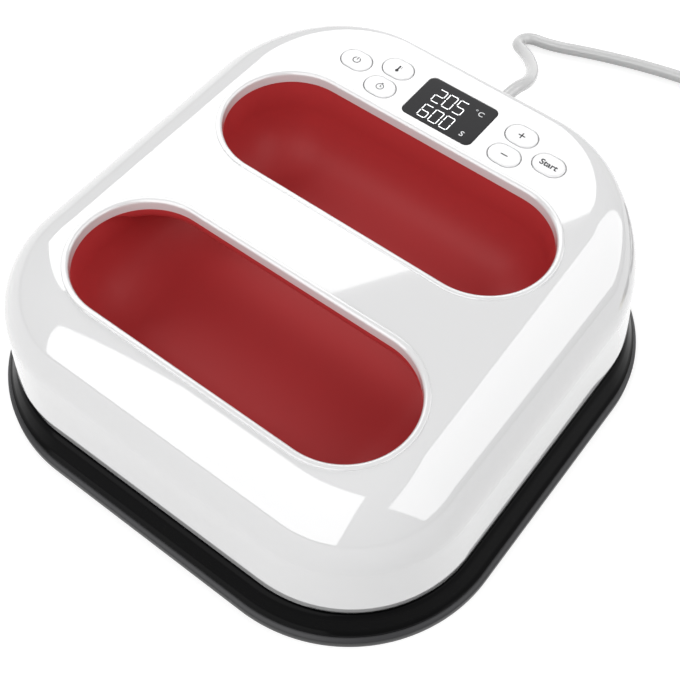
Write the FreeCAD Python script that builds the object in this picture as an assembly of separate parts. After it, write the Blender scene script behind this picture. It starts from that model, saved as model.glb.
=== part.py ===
import FreeCAD, Part
import math
import os

V = FreeCAD.Vector
UP = V(0, 0, 1)
DOWN = V(0, 0, -1)

# The origin is the centre of the plate's underside. X runs along the hand slots, Y to the rear, Z up.

# Heat plate
PLATE_SIZE = 254.0
PLATE_CORNER_R = 73.6
PLATE_EDGE_H = 6.2
PLATE_EDGE_CHAMFER = 1.3
PLATE_PAD_H = 1.2
PLATE_PAD_INSET = 14.0
PLATE_BOSS_R = 4.5
PLATE_BOSS_TOP = 12.0
PLATE_SCREW_INSET = 20.0
PLATE_SCREW_SPREAD = 40.0
PLATE_SCREW_D = 4.0

# Heating element: one tube in two loops, laid in a shallow groove
ELEMENT_D = 7.5
ELEMENT_GAP = 0.25
ELEMENT_SUNK = 1.2
ELEMENT_DECK_MARGIN = 13.0
ELEMENT_OUTER_R = 40.0
ELEMENT_LOOP_GAP = 36.0
ELEMENT_INNER_FLAT = 24.0
ELEMENT_START_X = 16.0
ELEMENT_TURN_X = 20.0
ELEMENT_END_X = 19.0
TERMINAL_LENGTH = 11.0
TERMINAL_D = 8.4
CLAMP_WIDTH = 8.0
CLAMP_FOOT = 8.0
CLAMP_T = 1.0
CLAMP_SCREW_LENGTH = 5.0
TAB_LENGTH = 8.0
TAB_WIDTH = 6.3
TAB_T = 0.8

# Temperature probe and cut-out, screwed to the middle of the plate
PROBE_Y = -14.0
PROBE_LUG_LENGTH = 19.0
PROBE_LUG_WIDTH = 9.0
PROBE_BEAD_D = 4.8
PROBE_BEAD_LENGTH = 12.0
CUTOUT_Y = 16.0
CUTOUT_D = 15.0
CUTOUT_H = 6.2
CUTOUT_SCREW_X = 13.0
CUTOUT_FLANGE_WIDTH = 10.0

# Insulation and heat shield
SHIELD_FLANGE_INSET = 24.5
SHIELD_WALL_INSET = 31.0
SHIELD_T = 0.8
SHIELD_TOP = 20.0
SHIELD_SCREW_INSET = 27.3
SHIELD_SCREW_X = 20.0
SHIELD_SCREW_LENGTH = 4.0
BLANKET_GAP = 0.5

# Base skirt
SKIRT_GAP = 0.2
SKIRT_FOOT_INSET = 1.8
SKIRT_FOOT_H = 1.6
SKIRT_TOP = 17.2
SKIRT_TUCK = 0.3
SKIRT_CAVITY_INSET = 5.5
SKIRT_POCKET_INSET = 15.5
DECK_T = 2.4
DECK_WINDOW_INSET = 30.0
COLLAR_TOP = 26.0
COLLAR_T = 2.2
COLLAR_GAP = 0.35
HOOK_WIDTH = 16.0
HOOK_CORNER_MARGIN = 85.0
HOOK_BOTTOM = 22.2
HOOK_H = 1.8
HOOK_REACH = 0.75
HOOK_GAP = 0.3
SHELF_SIDE_MARGIN = 63.0
SHELF_BOTTOM = 22.2
SHELF_T = 2.2
RIB_T = 2.0
RIB_INNER_X = 20.0

# Upper shell
SHELL_BOTTOM = 18.6
SHELL_TOP = 84.2
SHELL_WALL = 2.6
SHELL_INSET = 8.0
SHELL_SIDE_DRAFT = 0.102
SHOULDER_R = 34.0
REAR_EDGE_R = 4.6
SHELL_FOOT_CORNER_R = 62.0
SHOULDER_CORNER_R = 56.5
REAR_CORNER_R = 66.0
REAR_CORNER_TOP_R = 44.0

# Hand slots, the bar between them and the tub below
SLOT_SIDE_MARGIN = 44.05
SLOT_FRONT_MARGIN = 39.4
BAR_WIDTH = 35.8
PANEL_DEPTH = 47.2
RIM_DEPTH = 5.0
RIM_WALL = 2.2
BEAD_WIDTH = 3.0
BEAD_H = 0.5
BEAD_ROLL_R = 1.6
TUB_GAP = 0.4
TUB_WALL = 2.2
TUB_FLOOR = 37.8
TUB_BEND_LESS = 4.9
TUB_EAR_DROP = 5.2
TUB_EAR_T = 2.2
TUB_EAR_REACH = 9.6
TUB_EAR_WIDTH = 9.0
TUB_SCREW_LENGTH = 7.0
GRIP_DEPTH = 9.6
GRIP_EDGE_R = 8.2
GRIP_END_HALF = 41.0
GRIP_FLOOR_T = 2.8
GRIP_SIDE_T = 2.6
GRIP_GAP = 0.35
GRIP_POCKET_HALF_X = 50.0
GRIP_SCREW_PITCH = 36.0
GRIP_SCREW_LENGTH = 9.0

# Panel. A setback is a distance forward of the rear wall.
KEY_LENGTH = 15.4
KEY_WIDTH = 11.6
KEY_GAP = 0.35
KEY_PROUD = 0.3
KEY_THICKNESS = 3.9
KEY_FLANGE = 0.9
KEY_FLANGE_T = 1.4
KEY_SEAT_GAP = 0.3
KEY_STEM_D = 4.4
KEY_TRAVEL = 0.6
KEY_REST_GAP = 0.8
KEY_OUTER_X = 52.9
KEY_INNER_X = 34.1
KEY_OUTER_SETBACK = 27.9
KEY_REAR_SETBACK = 20.6
KEY_FRONT_SETBACK = 35.1
LENS_LENGTH = 37.4
LENS_WIDTH = 27.0
LENS_CORNER_R = 3.2
LENS_T = 1.4
LENS_GAP = 0.15
LENS_LEDGE = 2.6
LENS_SETBACK = 27.7
LENS_SUNK = 0.1

# Control board
BOARD_T = 1.6
BOARD_DEPTH = 12.6
BOARD_HALF_X = 62.0
BOARD_SETBACK = 9.0
BOARD_WIDTH = 33.2
BOARD_WALL_GAP = 0.5
BOARD_SCREW_SIDE = 5.0
BOARD_SCREW_FRONT_INSET = 3.4
BOARD_SCREW_REAR_INSET = 4.0
BOARD_SCREW_LENGTH = 8.0
BUZZER_X = -20.0
BUZZER_D = 12.0
BUZZER_H = 5.5
BUZZER_INSET = 12.0
SWITCH_SIZE = 6.0
SWITCH_H = 3.5
SWITCH_BUTTON_D = 3.4
SWITCH_BUTTON_H = 1.5
LCD_LENGTH = 35.0
LCD_WIDTH = 24.6
LCD_FRAME = 2.5
LCD_FOOT_H = 2.4

# Power board
POWER_HALF_X = 56.0
POWER_SETBACK = 17.0
POWER_WIDTH = 22.0
POWER_BOSS_H = 3.0
POWER_SCREW_SIDE = 6.0
POWER_SCREW_INSET = 3.0
POWER_SCREW_LENGTH = 6.0
POWER_SHELF_MARGIN = 1.0
BLOCK_X = 39.5
BLOCK_LENGTH = 13.0
BLOCK_WIDTH = 21.0
BLOCK_H = 15.0
BLOCK_PITCH = 6.6
BLOCK_SCREW_X = 37.0
BLOCK_SCREW_DEPTH = 6.0

# Small fasteners
SCREW_D = 2.9
SCREW_HEAD_D = 5.6
SCREW_HEAD_H = 1.9
SCREW_HOLE_GAP = 0.15
BOSS_D = 6.8

# Mains lead
CORD_D = 6.4
CORD_EXIT_Z = 50.0
RELIEF_LENGTH = 22.0
RELIEF_ROOT_D = 13.0
RELIEF_TIP_D = 9.2
RELIEF_FLANGE_D = 17.0
RELIEF_FLANGE_T = 2.0
RELIEF_NECK_GAP = 0.2
INNER_LEAD_D = 4.8
INNER_LEAD_GAP = 0.6
CLAMP_POST_SETBACK = 12.0
CLAMP_POST_X = 9.0
SADDLE_WIDTH = 6.0
SADDLE_T = 1.4
SADDLE_SCREW_LENGTH = 8.0
LEAD_LAST_RUN = 30.0
COIL_CENTRE = (148.0, 226.0)
COIL_PITCH = 7.0
COIL_MEAN_R = 35.5
COIL_LOWER_TURNS = 2.5
COIL_CLIMB_TURNS = 0.5
COIL_UPPER_TURNS = 2.25
COIL_LIFT = 0.9
COIL_TAIL = 24.0
TIE_T = 0.8
TIE_WIDTH = 12.0
TIE_GAP = 0.35
PLUG_LENGTH = 44.0
PLUG_HALF_WIDTH = 13.5
PLUG_SHOULDER = 27.0
PLUG_NECK_LENGTH = 15.0
PLUG_NECK_D = 12.8
BLADE_LENGTH = 17.5
BLADE_WIDTH = 6.4
BLADE_T = 1.5
BLADE_PITCH = 12.7
EARTH_PIN_D = 4.8
EARTH_PIN_LENGTH = 20.5
EARTH_PIN_DROP = 6.0

HALF = PLATE_SIZE / 2
RIM_BOTTOM = SHELL_TOP - RIM_DEPTH
CEILING = SHELL_TOP - SHELL_WALL
TUB_EAR_TOP = RIM_BOTTOM - TUB_EAR_DROP
GRIP_BOTTOM = RIM_BOTTOM - GRIP_DEPTH
BOARD_TOP = SHELL_TOP - BOARD_DEPTH
REAR_WALL_Y = HALF - SHELL_INSET
SLOT_LENGTH = 2 * (HALF - SLOT_SIDE_MARGIN)
SLOT_WIDTH = (REAR_WALL_Y - PANEL_DEPTH + HALF - SLOT_FRONT_MARGIN - BAR_WIDTH) / 2
SLOT_REAR_Y = REAR_WALL_Y - PANEL_DEPTH - SLOT_WIDTH / 2
SLOT_FRONT_Y = SLOT_REAR_Y - SLOT_WIDTH - BAR_WIDTH
SLOTS_Y = (SLOT_FRONT_Y, SLOT_REAR_Y)
BAR_Y = (SLOT_FRONT_Y + SLOT_REAR_Y) / 2
TUB_BEND_R = SLOT_WIDTH / 2 - TUB_BEND_LESS
PAD_TOP = PLATE_EDGE_H + PLATE_PAD_H
DECK_TOP = PLATE_BOSS_TOP + DECK_T
ELEMENT_Z = PAD_TOP - ELEMENT_SUNK + ELEMENT_D / 2 + ELEMENT_GAP
ELEMENT_OUTER_HALF = HALF - DECK_WINDOW_INSET - ELEMENT_DECK_MARGIN
ELEMENT_INNER_HALF = ELEMENT_OUTER_HALF - ELEMENT_LOOP_GAP
ELEMENT_INNER_R = ELEMENT_INNER_HALF - ELEMENT_INNER_FLAT
HOOK_SPREAD = HALF - HOOK_CORNER_MARGIN
KEY_OUTER_Y = REAR_WALL_Y - KEY_OUTER_SETBACK
KEY_REAR_Y = REAR_WALL_Y - KEY_REAR_SETBACK
KEY_FRONT_Y = REAR_WALL_Y - KEY_FRONT_SETBACK
LENS_Y = REAR_WALL_Y - LENS_SETBACK
BOARD_REAR = REAR_WALL_Y - BOARD_SETBACK
BOARD_FRONT = BOARD_REAR - BOARD_WIDTH
POWER_REAR = REAR_WALL_Y - POWER_SETBACK
POWER_FRONT = POWER_REAR - POWER_WIDTH
POWER_Y = (POWER_FRONT + POWER_REAR) / 2
SHELF_HALF_X = HALF - SHELF_SIDE_MARGIN
SHELF_FRONT = POWER_FRONT - POWER_SHELF_MARGIN
SHELF_TOP = SHELF_BOTTOM + SHELF_T
POWER_BOTTOM = SHELF_TOP + POWER_BOSS_H
POWER_TOP = POWER_BOTTOM + BOARD_T
CLAMP_POST_Y = REAR_WALL_Y - CLAMP_POST_SETBACK
SCREW_PASS_D = SCREW_D + 2 * SCREW_HOLE_GAP
COIL_Z = CORD_D / 2 + COIL_LIFT

KEYS = {
    "power_key": (-KEY_OUTER_X, KEY_OUTER_Y),
    "temperature_key": (-KEY_INNER_X, KEY_REAR_Y),
    "timer_key": (-KEY_INNER_X, KEY_FRONT_Y),
    "plus_key": (KEY_INNER_X, KEY_REAR_Y),
    "minus_key": (KEY_INNER_X, KEY_FRONT_Y),
    "start_key": (KEY_OUTER_X, KEY_OUTER_Y),
}

# The lead's route from the sleeve at the rear wall to the coil, chosen point by point
LEAD_ROUTE = [
    (0.0, 141.0, 50.0),
    (0.0, 153.0, 50.0),
    (0.9, 166.0, 44.6),
    (-4.4, 182.0, 36.0),
    (-14.6, 198.9, 25.0),
    (-27.0, 214.6, 13.4),
    (-38.6, 226.0, 4.8),
    (-36.8, 236.6, 3.3),
    (-22.5, 238.4, 3.3),
    (-2.0, 247.2, 3.3),
    (21.5, 255.4, 3.3),
    (45.5, 261.8, 3.3),
    (75.0, 267.0, 3.6),
]


def rounded_outline(half_x, front, rear, front_r, rear_r, z):
    """Closed wire: a rectangle with two corner radii, level at z."""
    corners = [
        (half_x - rear_r, rear - rear_r, rear_r, 0),
        (rear_r - half_x, rear - rear_r, rear_r, 90),
        (front_r - half_x, front + front_r, front_r, 180),
        (half_x - front_r, front + front_r, front_r, 270),
    ]
    arcs = []
    for cx, cy, radius, start in corners:
        angles = [math.radians(start + step) for step in (0, 45, 90)]
        arcs.append([V(cx + radius * math.cos(a), cy + radius * math.sin(a), z) for a in angles])
    edges = []
    for i, points in enumerate(arcs):
        edges.append(Part.Arc(*points).toShape())
        following = arcs[(i + 1) % len(arcs)][0]
        if points[2].distanceToPoint(following) > 1e-6:
            edges.append(Part.LineSegment(points[2], following).toShape())
    return Part.Wire(edges)


def plate_outline(inset, z):
    """The plate's outline drawn in by inset."""
    half = HALF - inset
    radius = PLATE_CORNER_R - inset
    return rounded_outline(half, -half, half, radius, radius, z)


def slab(outline, height):
    return Part.Face(outline).extrude(V(0, 0, height))


def box(x0, x1, y0, y1, z0, z1):
    return Part.makeBox(x1 - x0, y1 - y0, z1 - z0, V(x0, y0, z0))


def post(x, y, z, diameter, height):
    return Part.makeCylinder(diameter / 2, height, V(x, y, z))


def stadium(x, y, length, width, z, height):
    """A solid with straight sides along X and round ends."""
    radius = width / 2
    reach = length / 2 - radius
    a = V(x - reach, y - radius, z)
    b = V(x + reach, y - radius, z)
    c = V(x + reach, y + radius, z)
    d = V(x - reach, y + radius, z)
    edges = [
        Part.LineSegment(a, b).toShape(),
        Part.Arc(b, V(x + length / 2, y, z), c).toShape(),
        Part.LineSegment(c, d).toShape(),
        Part.Arc(d, V(x - length / 2, y, z), a).toShape(),
    ]
    return Part.Face(Part.Wire(edges)).extrude(V(0, 0, height))


def edges_at(shape, z):
    """Edges that lie level at height z."""
    return [e for e in shape.Edges if abs(e.BoundBox.ZMin - z) < 1e-4 and abs(e.BoundBox.ZMax - z) < 1e-4]


def four_way(x, y):
    return [(x, y), (-x, y), (-x, -y), (x, -y)]


def screw(x, y, seat_z, diameter, length, head_d, head_h, points_down=True):
    """A pan head screw whose head sits on the level seat_z."""
    sign = -1 if points_down else 1
    outline = [
        V(0, 0, -sign * head_h),
        V(head_d * 0.32, 0, -sign * head_h),
        V(head_d / 2, 0, -sign * head_h * 0.45),
        V(head_d / 2, 0, 0),
        V(diameter / 2, 0, 0),
        V(diameter / 2, 0, sign * (length - diameter / 2)),
        V(0, 0, sign * length),
    ]
    face = Part.Face(Part.makePolygon(outline + [outline[0]]))
    solid = face.revolve(V(0, 0, 0), UP, 360)
    solid.translate(V(x, y, seat_z))
    return solid


def group(solids):
    return Part.makeCompound(solids)


def plate_screw_places():
    reach = HALF - PLATE_SCREW_INSET
    return four_way(reach, PLATE_SCREW_SPREAD) + four_way(PLATE_SCREW_SPREAD, reach)


def heating_element():
    return round_tube(element_path(), ELEMENT_D)


def element_path():
    """Centre line of the heating tube: an outer loop, a half turn inwards and an inner loop."""
    z = ELEMENT_Z
    far = ELEMENT_OUTER_HALF
    near = ELEMENT_INNER_HALF
    turn_r = (far - near) / 2
    edges = []

    def line(x0, y0, x1, y1):
        edges.append(Part.LineSegment(V(x0, y0, z), V(x1, y1, z)).toShape())

    def arc(cx, cy, radius, start, sweep):
        angles = [math.radians(start + sweep * share) for share in (0, 0.5, 1)]
        points = [V(cx + radius * math.cos(a), cy + radius * math.sin(a), z) for a in angles]
        edges.append(Part.Arc(*points).toShape())

    def loop(half, radius, start_x, end_x):
        flat = half - radius
        line(start_x, half, -flat, half)
        arc(-flat, flat, radius, 90, 90)
        line(-half, flat, -half, -flat)
        arc(-flat, -flat, radius, 180, 90)
        line(-flat, -half, flat, -half)
        arc(flat, -flat, radius, 270, 90)
        line(half, -flat, half, flat)
        arc(flat, flat, radius, 0, 90)
        line(flat, half, end_x, half)

    loop(far, ELEMENT_OUTER_R, -ELEMENT_START_X, ELEMENT_TURN_X)
    arc(ELEMENT_TURN_X, near + turn_r, turn_r, 90, 180)
    flat = near - ELEMENT_INNER_R
    line(ELEMENT_TURN_X, near, flat, near)
    arc(flat, flat, ELEMENT_INNER_R, 90, -90)
    line(near, flat, near, -flat)
    arc(flat, -flat, ELEMENT_INNER_R, 0, -90)
    line(flat, -near, -flat, -near)
    arc(-flat, -flat, ELEMENT_INNER_R, 270, -90)
    line(-near, -flat, -near, flat)
    arc(-flat, flat, ELEMENT_INNER_R, 180, -90)
    line(-flat, near, -ELEMENT_END_X, near)
    return Part.Wire(edges)


def round_tube(path, diameter):
    """A round bar that follows a wire of tangent lines and arcs."""
    first = path.OrderedEdges[0]
    start = first.valueAt(first.FirstParameter)
    along = first.tangentAt(first.FirstParameter)
    section = Part.Wire([Part.Circle(start, along, diameter / 2).toShape()])
    shell = Part.BRepOffsetAPI.MakePipeShell(path)
    shell.add(section)
    shell.build()
    shell.makeSolid()
    return shell.shape()


def terminal_rods(diameter, spare=0.0):
    """The two cold ends of the heating tube, as plain rods."""
    rods = []
    for x, y in ((-ELEMENT_START_X, ELEMENT_OUTER_HALF), (-ELEMENT_END_X, ELEMENT_INNER_HALF)):
        rods.append(
            Part.makeCylinder(
                diameter / 2, TERMINAL_LENGTH + 2 * spare, V(x - spare, y, ELEMENT_Z), V(1, 0, 0)
            )
        )
    return rods


CLAMP_PLACES = [
    (0.0, -ELEMENT_OUTER_HALF, 0),
    (-ELEMENT_OUTER_HALF, 0.0, 90),
    (ELEMENT_OUTER_HALF, 0.0, 90),
    (0.0, -ELEMENT_INNER_HALF, 0),
    (-ELEMENT_INNER_HALF, 0.0, 90),
    (ELEMENT_INNER_HALF, 0.0, 90),
]


def clamp_foot_places():
    """Screw centres of the element's straps."""
    reach = ELEMENT_D / 2 + ELEMENT_GAP + CLAMP_T + CLAMP_FOOT / 2
    places = []
    for x, y, turn in CLAMP_PLACES:
        for side in (-1, 1):
            dx, dy = (0, side * reach) if turn == 0 else (side * reach, 0)
            places.append((x + dx, y + dy))
    return places


def sensor_screw_places():
    return [(0, PROBE_Y), (-CUTOUT_SCREW_X, CUTOUT_Y), (CUTOUT_SCREW_X, CUTOUT_Y)]


def heat_plate():
    body = slab(plate_outline(0, 0), PLATE_EDGE_H)
    body = body.makeChamfer(PLATE_EDGE_CHAMFER, edges_at(body, PLATE_EDGE_H))
    body = body.makeFillet(0.8, edges_at(body, 0))
    body = body.fuse(slab(plate_outline(PLATE_PAD_INSET, PLATE_EDGE_H - 1), PLATE_PAD_H + 1))
    for x, y in plate_screw_places():
        body = body.fuse(post(x, y, PLATE_EDGE_H, 2 * PLATE_BOSS_R, PLATE_BOSS_TOP - PLATE_EDGE_H))
    body = body.cut(round_tube(element_path(), ELEMENT_D + 2 * ELEMENT_GAP))
    holes = terminal_rods(TERMINAL_D + 2 * ELEMENT_GAP, ELEMENT_GAP)
    for x, y in plate_screw_places():
        holes.append(post(x, y, PLATE_EDGE_H - 1, PLATE_SCREW_D, PLATE_BOSS_TOP))
    depth = CLAMP_SCREW_LENGTH - CLAMP_T + 0.5
    for x, y in clamp_foot_places() + sensor_screw_places():
        holes.append(post(x, y, PAD_TOP - depth, SCREW_D, depth + 1.5))
    return body.cut(holes).removeSplitter()


def plate_screws():
    seat = PLATE_BOSS_TOP + DECK_T
    length = seat - PLATE_EDGE_H
    return group([screw(x, y, seat, PLATE_SCREW_D, length, 7.0, 2.4) for x, y in plate_screw_places()])


def element_terminals():
    """Ceramic sleeves with a flat tab on each."""
    solids = []
    for rod in terminal_rods(TERMINAL_D):
        x = rod.BoundBox.XMax
        y = rod.BoundBox.Center.y
        half = TAB_WIDTH / 2
        tab = box(x - 1, x + TAB_LENGTH, y - half, y + half, ELEMENT_Z - TAB_T / 2, ELEMENT_Z + TAB_T / 2)
        solids.append(rod.fuse(tab))
    return group(solids)


def element_clamps():
    """Bridge straps that hold the tube down."""
    inner = ELEMENT_D / 2 + ELEMENT_GAP
    outer = inner + CLAMP_T
    half = CLAMP_WIDTH / 2
    foot = outer + CLAMP_FOOT
    bow = Part.makeCylinder(outer, CLAMP_WIDTH, V(-half, 0, ELEMENT_Z), V(1, 0, 0))
    strap = bow.fuse(box(-half, half, -outer, outer, PAD_TOP, ELEMENT_Z))
    strap = strap.cut(box(-half, half, -outer, outer, ELEMENT_Z - 2 * outer, PAD_TOP))
    strap = strap.fuse(box(-half, half, -foot, foot, PAD_TOP, PAD_TOP + CLAMP_T))
    strap = strap.cut(Part.makeCylinder(inner, CLAMP_WIDTH, V(-half, 0, ELEMENT_Z), V(1, 0, 0)))
    strap = strap.cut(box(-half, half, -inner, inner, PAD_TOP - 1, ELEMENT_Z))
    for side in (-1, 1):
        strap = strap.cut(post(0, side * (outer + CLAMP_FOOT / 2), PAD_TOP - 1, SCREW_PASS_D, CLAMP_T + 3))
    straps = []
    for x, y, turn in CLAMP_PLACES:
        one = strap.copy()
        one.rotate(V(0, 0, 0), UP, turn)
        one.translate(V(x, y, 0))
        straps.append(one)
    return group(straps)


def small_screws(places, seat, length, points_down=True):
    """A set of the small pan head screws on one level."""
    solids = []
    for x, y in places:
        solids.append(screw(x, y, seat, SCREW_D, length, SCREW_HEAD_D, SCREW_HEAD_H, points_down))
    return group(solids)


def clamp_screws():
    return small_screws(clamp_foot_places(), PAD_TOP + CLAMP_T, CLAMP_SCREW_LENGTH)


def temperature_probe():
    """A sensor bead in a screwed lug."""
    lug_x = (PROBE_LUG_LENGTH - PROBE_LUG_WIDTH) / 2 - 1
    lug = stadium(lug_x, PROBE_Y, PROBE_LUG_LENGTH, PROBE_LUG_WIDTH, PAD_TOP, CLAMP_T)
    bead_start = V(lug_x + 1, PROBE_Y, PAD_TOP + PROBE_BEAD_D / 2)
    bead = Part.makeCylinder(PROBE_BEAD_D / 2, PROBE_BEAD_LENGTH, bead_start, V(1, 0, 0))
    return lug.fuse(bead).cut(post(0, PROBE_Y, PAD_TOP - 1, SCREW_PASS_D, PROBE_BEAD_D + 3))


def thermal_cutout():
    """A round bimetal switch on a two-hole flange, with two tabs."""
    flange_length = 2 * CUTOUT_SCREW_X + 0.8 * CUTOUT_FLANGE_WIDTH
    body = stadium(0, CUTOUT_Y, flange_length, CUTOUT_FLANGE_WIDTH, PAD_TOP, CLAMP_T)
    body = body.fuse(post(0, CUTOUT_Y, PAD_TOP, CUTOUT_D, CUTOUT_H))
    tab_top = PAD_TOP + CUTOUT_H - 1
    for side in (-1, 1):
        y = CUTOUT_Y + side * (CUTOUT_D / 2 + 2.5)
        half = TAB_LENGTH / 2
        body = body.fuse(box(-TAB_WIDTH / 2, TAB_WIDTH / 2, y - half, y + half, tab_top - TAB_T, tab_top))
        body = body.cut(post(side * CUTOUT_SCREW_X, CUTOUT_Y, PAD_TOP - 1, SCREW_PASS_D, CLAMP_T + 3))
    return body


def sensor_screws():
    return small_screws(sensor_screw_places(), PAD_TOP + CLAMP_T, CLAMP_SCREW_LENGTH)


def insulation_blanket():
    low = ELEMENT_Z + ELEMENT_D / 2 + ELEMENT_GAP + CLAMP_T + 0.1
    return slab(plate_outline(SHIELD_WALL_INSET + SHIELD_T + BLANKET_GAP, low), SHIELD_TOP - SHIELD_T - low)


def shield_screw_places():
    reach = HALF - SHIELD_SCREW_INSET
    return [(reach, 0), (-reach, 0), (SHIELD_SCREW_X, -reach), (-SHIELD_SCREW_X, -reach)]


def heat_shield():
    """A shallow pressed pan over the blanket, its flange on the deck."""
    flange = slab(plate_outline(SHIELD_FLANGE_INSET, DECK_TOP), SHIELD_T)
    pan = slab(plate_outline(SHIELD_WALL_INSET, DECK_TOP), SHIELD_TOP - DECK_TOP)
    pan = pan.makeFillet(2.0, edges_at(pan, SHIELD_TOP))
    hollow = slab(plate_outline(SHIELD_WALL_INSET + SHIELD_T, DECK_TOP), SHIELD_TOP - SHIELD_T - DECK_TOP)
    pan = flange.fuse(pan).cut(hollow)
    for x, y in shield_screw_places():
        pan = pan.cut(post(x, y, DECK_TOP - 1, SCREW_PASS_D, SHIELD_T + 3))
    return pan.removeSplitter()


def shield_screws():
    return small_screws(shield_screw_places(), DECK_TOP + SHIELD_T, SHIELD_SCREW_LENGTH)


def side_inset(z):
    """How far the shell's front and sides stand inside the plate's edge at height z."""
    return SHELL_INSET + SHELL_SIDE_DRAFT * (z - SHELL_BOTTOM)


def shell_outline(z, side, rear, corner, rear_corner, offset):
    half = HALF - side - offset
    return rounded_outline(
        half, -half, HALF - rear - offset, max(corner - offset, 2), max(rear_corner - offset, 2), z
    )


def wall_outline(z, offset):
    """The shell's outline on its drafted wall, below the shoulder, drawn in by offset."""
    side = side_inset(z)
    shoulder_z = SHELL_TOP - SHOULDER_R
    share = (z - SHELL_BOTTOM) / (shoulder_z - SHELL_BOTTOM)
    corner = SHELL_FOOT_CORNER_R + share * (SHOULDER_CORNER_R - SHELL_FOOT_CORNER_R)
    rear_corner = SHELL_FOOT_CORNER_R + share * (REAR_CORNER_R - SHELL_FOOT_CORNER_R)
    return shell_outline(z, side, SHELL_INSET, corner, rear_corner, offset)


def shell_form(offset):
    """The pillow form of the shell drawn in by offset: drafted walls, a wide shoulder on three sides
    and a tight edge at the rear, where the flat panel runs out to the wall."""
    top = SHELL_TOP - offset
    radius = SHOULDER_R - offset
    centre_z = SHELL_TOP - SHOULDER_R
    centre_inset = side_inset(centre_z) + SHOULDER_R
    wall = Part.makeLoft([wall_outline(SHELL_BOTTOM, offset), wall_outline(centre_z, offset)], True, True)
    outlines = []
    for angle in (0, 15, 30, 45, 60, 75, 90):
        z = centre_z + radius * math.sin(math.radians(angle))
        side = centre_inset - radius * math.cos(math.radians(angle)) - offset
        rise = max(z - (top - REAR_EDGE_R), 0)
        rear = SHELL_INSET + REAR_EDGE_R - math.sqrt(max(REAR_EDGE_R**2 - rise**2, 0))
        drawn_in = side - side_inset(centre_z)
        corner = SHOULDER_CORNER_R - drawn_in
        rear_corner = REAR_CORNER_R - drawn_in * (REAR_CORNER_R - REAR_CORNER_TOP_R) / SHOULDER_R
        outlines.append(shell_outline(z, side, rear, corner, rear_corner, offset))
    return wall.fuse(Part.makeLoft(outlines, True, False))


def slot_tool(y, grow, z0, z1):
    return stadium(0, y, SLOT_LENGTH + 2 * grow, SLOT_WIDTH + 2 * grow, z0, z1 - z0)


def tub_screw_places():
    reach = SLOT_LENGTH / 2 + TUB_GAP + TUB_WALL + TUB_EAR_REACH / 2
    front = SLOT_FRONT_Y - SLOT_WIDTH / 2 - TUB_GAP - TUB_WALL - TUB_EAR_REACH / 2
    places = []
    for side in (-1, 1):
        for y in (SLOT_FRONT_Y + 4, BAR_Y, SLOT_REAR_Y - 4):
            places.append((side * reach, y))
        places.append((side * SLOT_LENGTH / 4, front))
    return places


def grip_screw_places():
    return [(step * GRIP_SCREW_PITCH, BAR_Y) for step in (-1, 0, 1)]


def board_screw_places():
    reach = BOARD_HALF_X - BOARD_SCREW_SIDE
    places = []
    for x in (-reach, reach):
        places.append((x, BOARD_FRONT + BOARD_SCREW_FRONT_INSET))
        places.append((x, BOARD_REAR - BOARD_SCREW_REAR_INSET))
    return places


def hook_boxes(low, high, grow, reach):
    """Small blocks round the collar, where the skirt clicks into the shell."""
    solids = []
    middle = (HOOK_BOTTOM + HOOK_BOTTOM + HOOK_H) / 2
    half = HOOK_WIDTH / 2 + grow
    face = HALF - side_inset(middle) - SHELL_WALL
    for place in (-HOOK_SPREAD, HOOK_SPREAD):
        for side in (-1, 1):
            x = sorted((side * (face - 1.0), side * (face + reach)))
            solids.append(box(x[0], x[1], place - half, place + half, low, high))
        solids.append(box(place - half, place + half, -face - reach, -face + 1.0, low, high))
        rear = REAR_WALL_Y - SHELL_WALL
        solids.append(box(place - half, place + half, rear - 1.0, rear + reach, low, high))
    return solids


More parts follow.
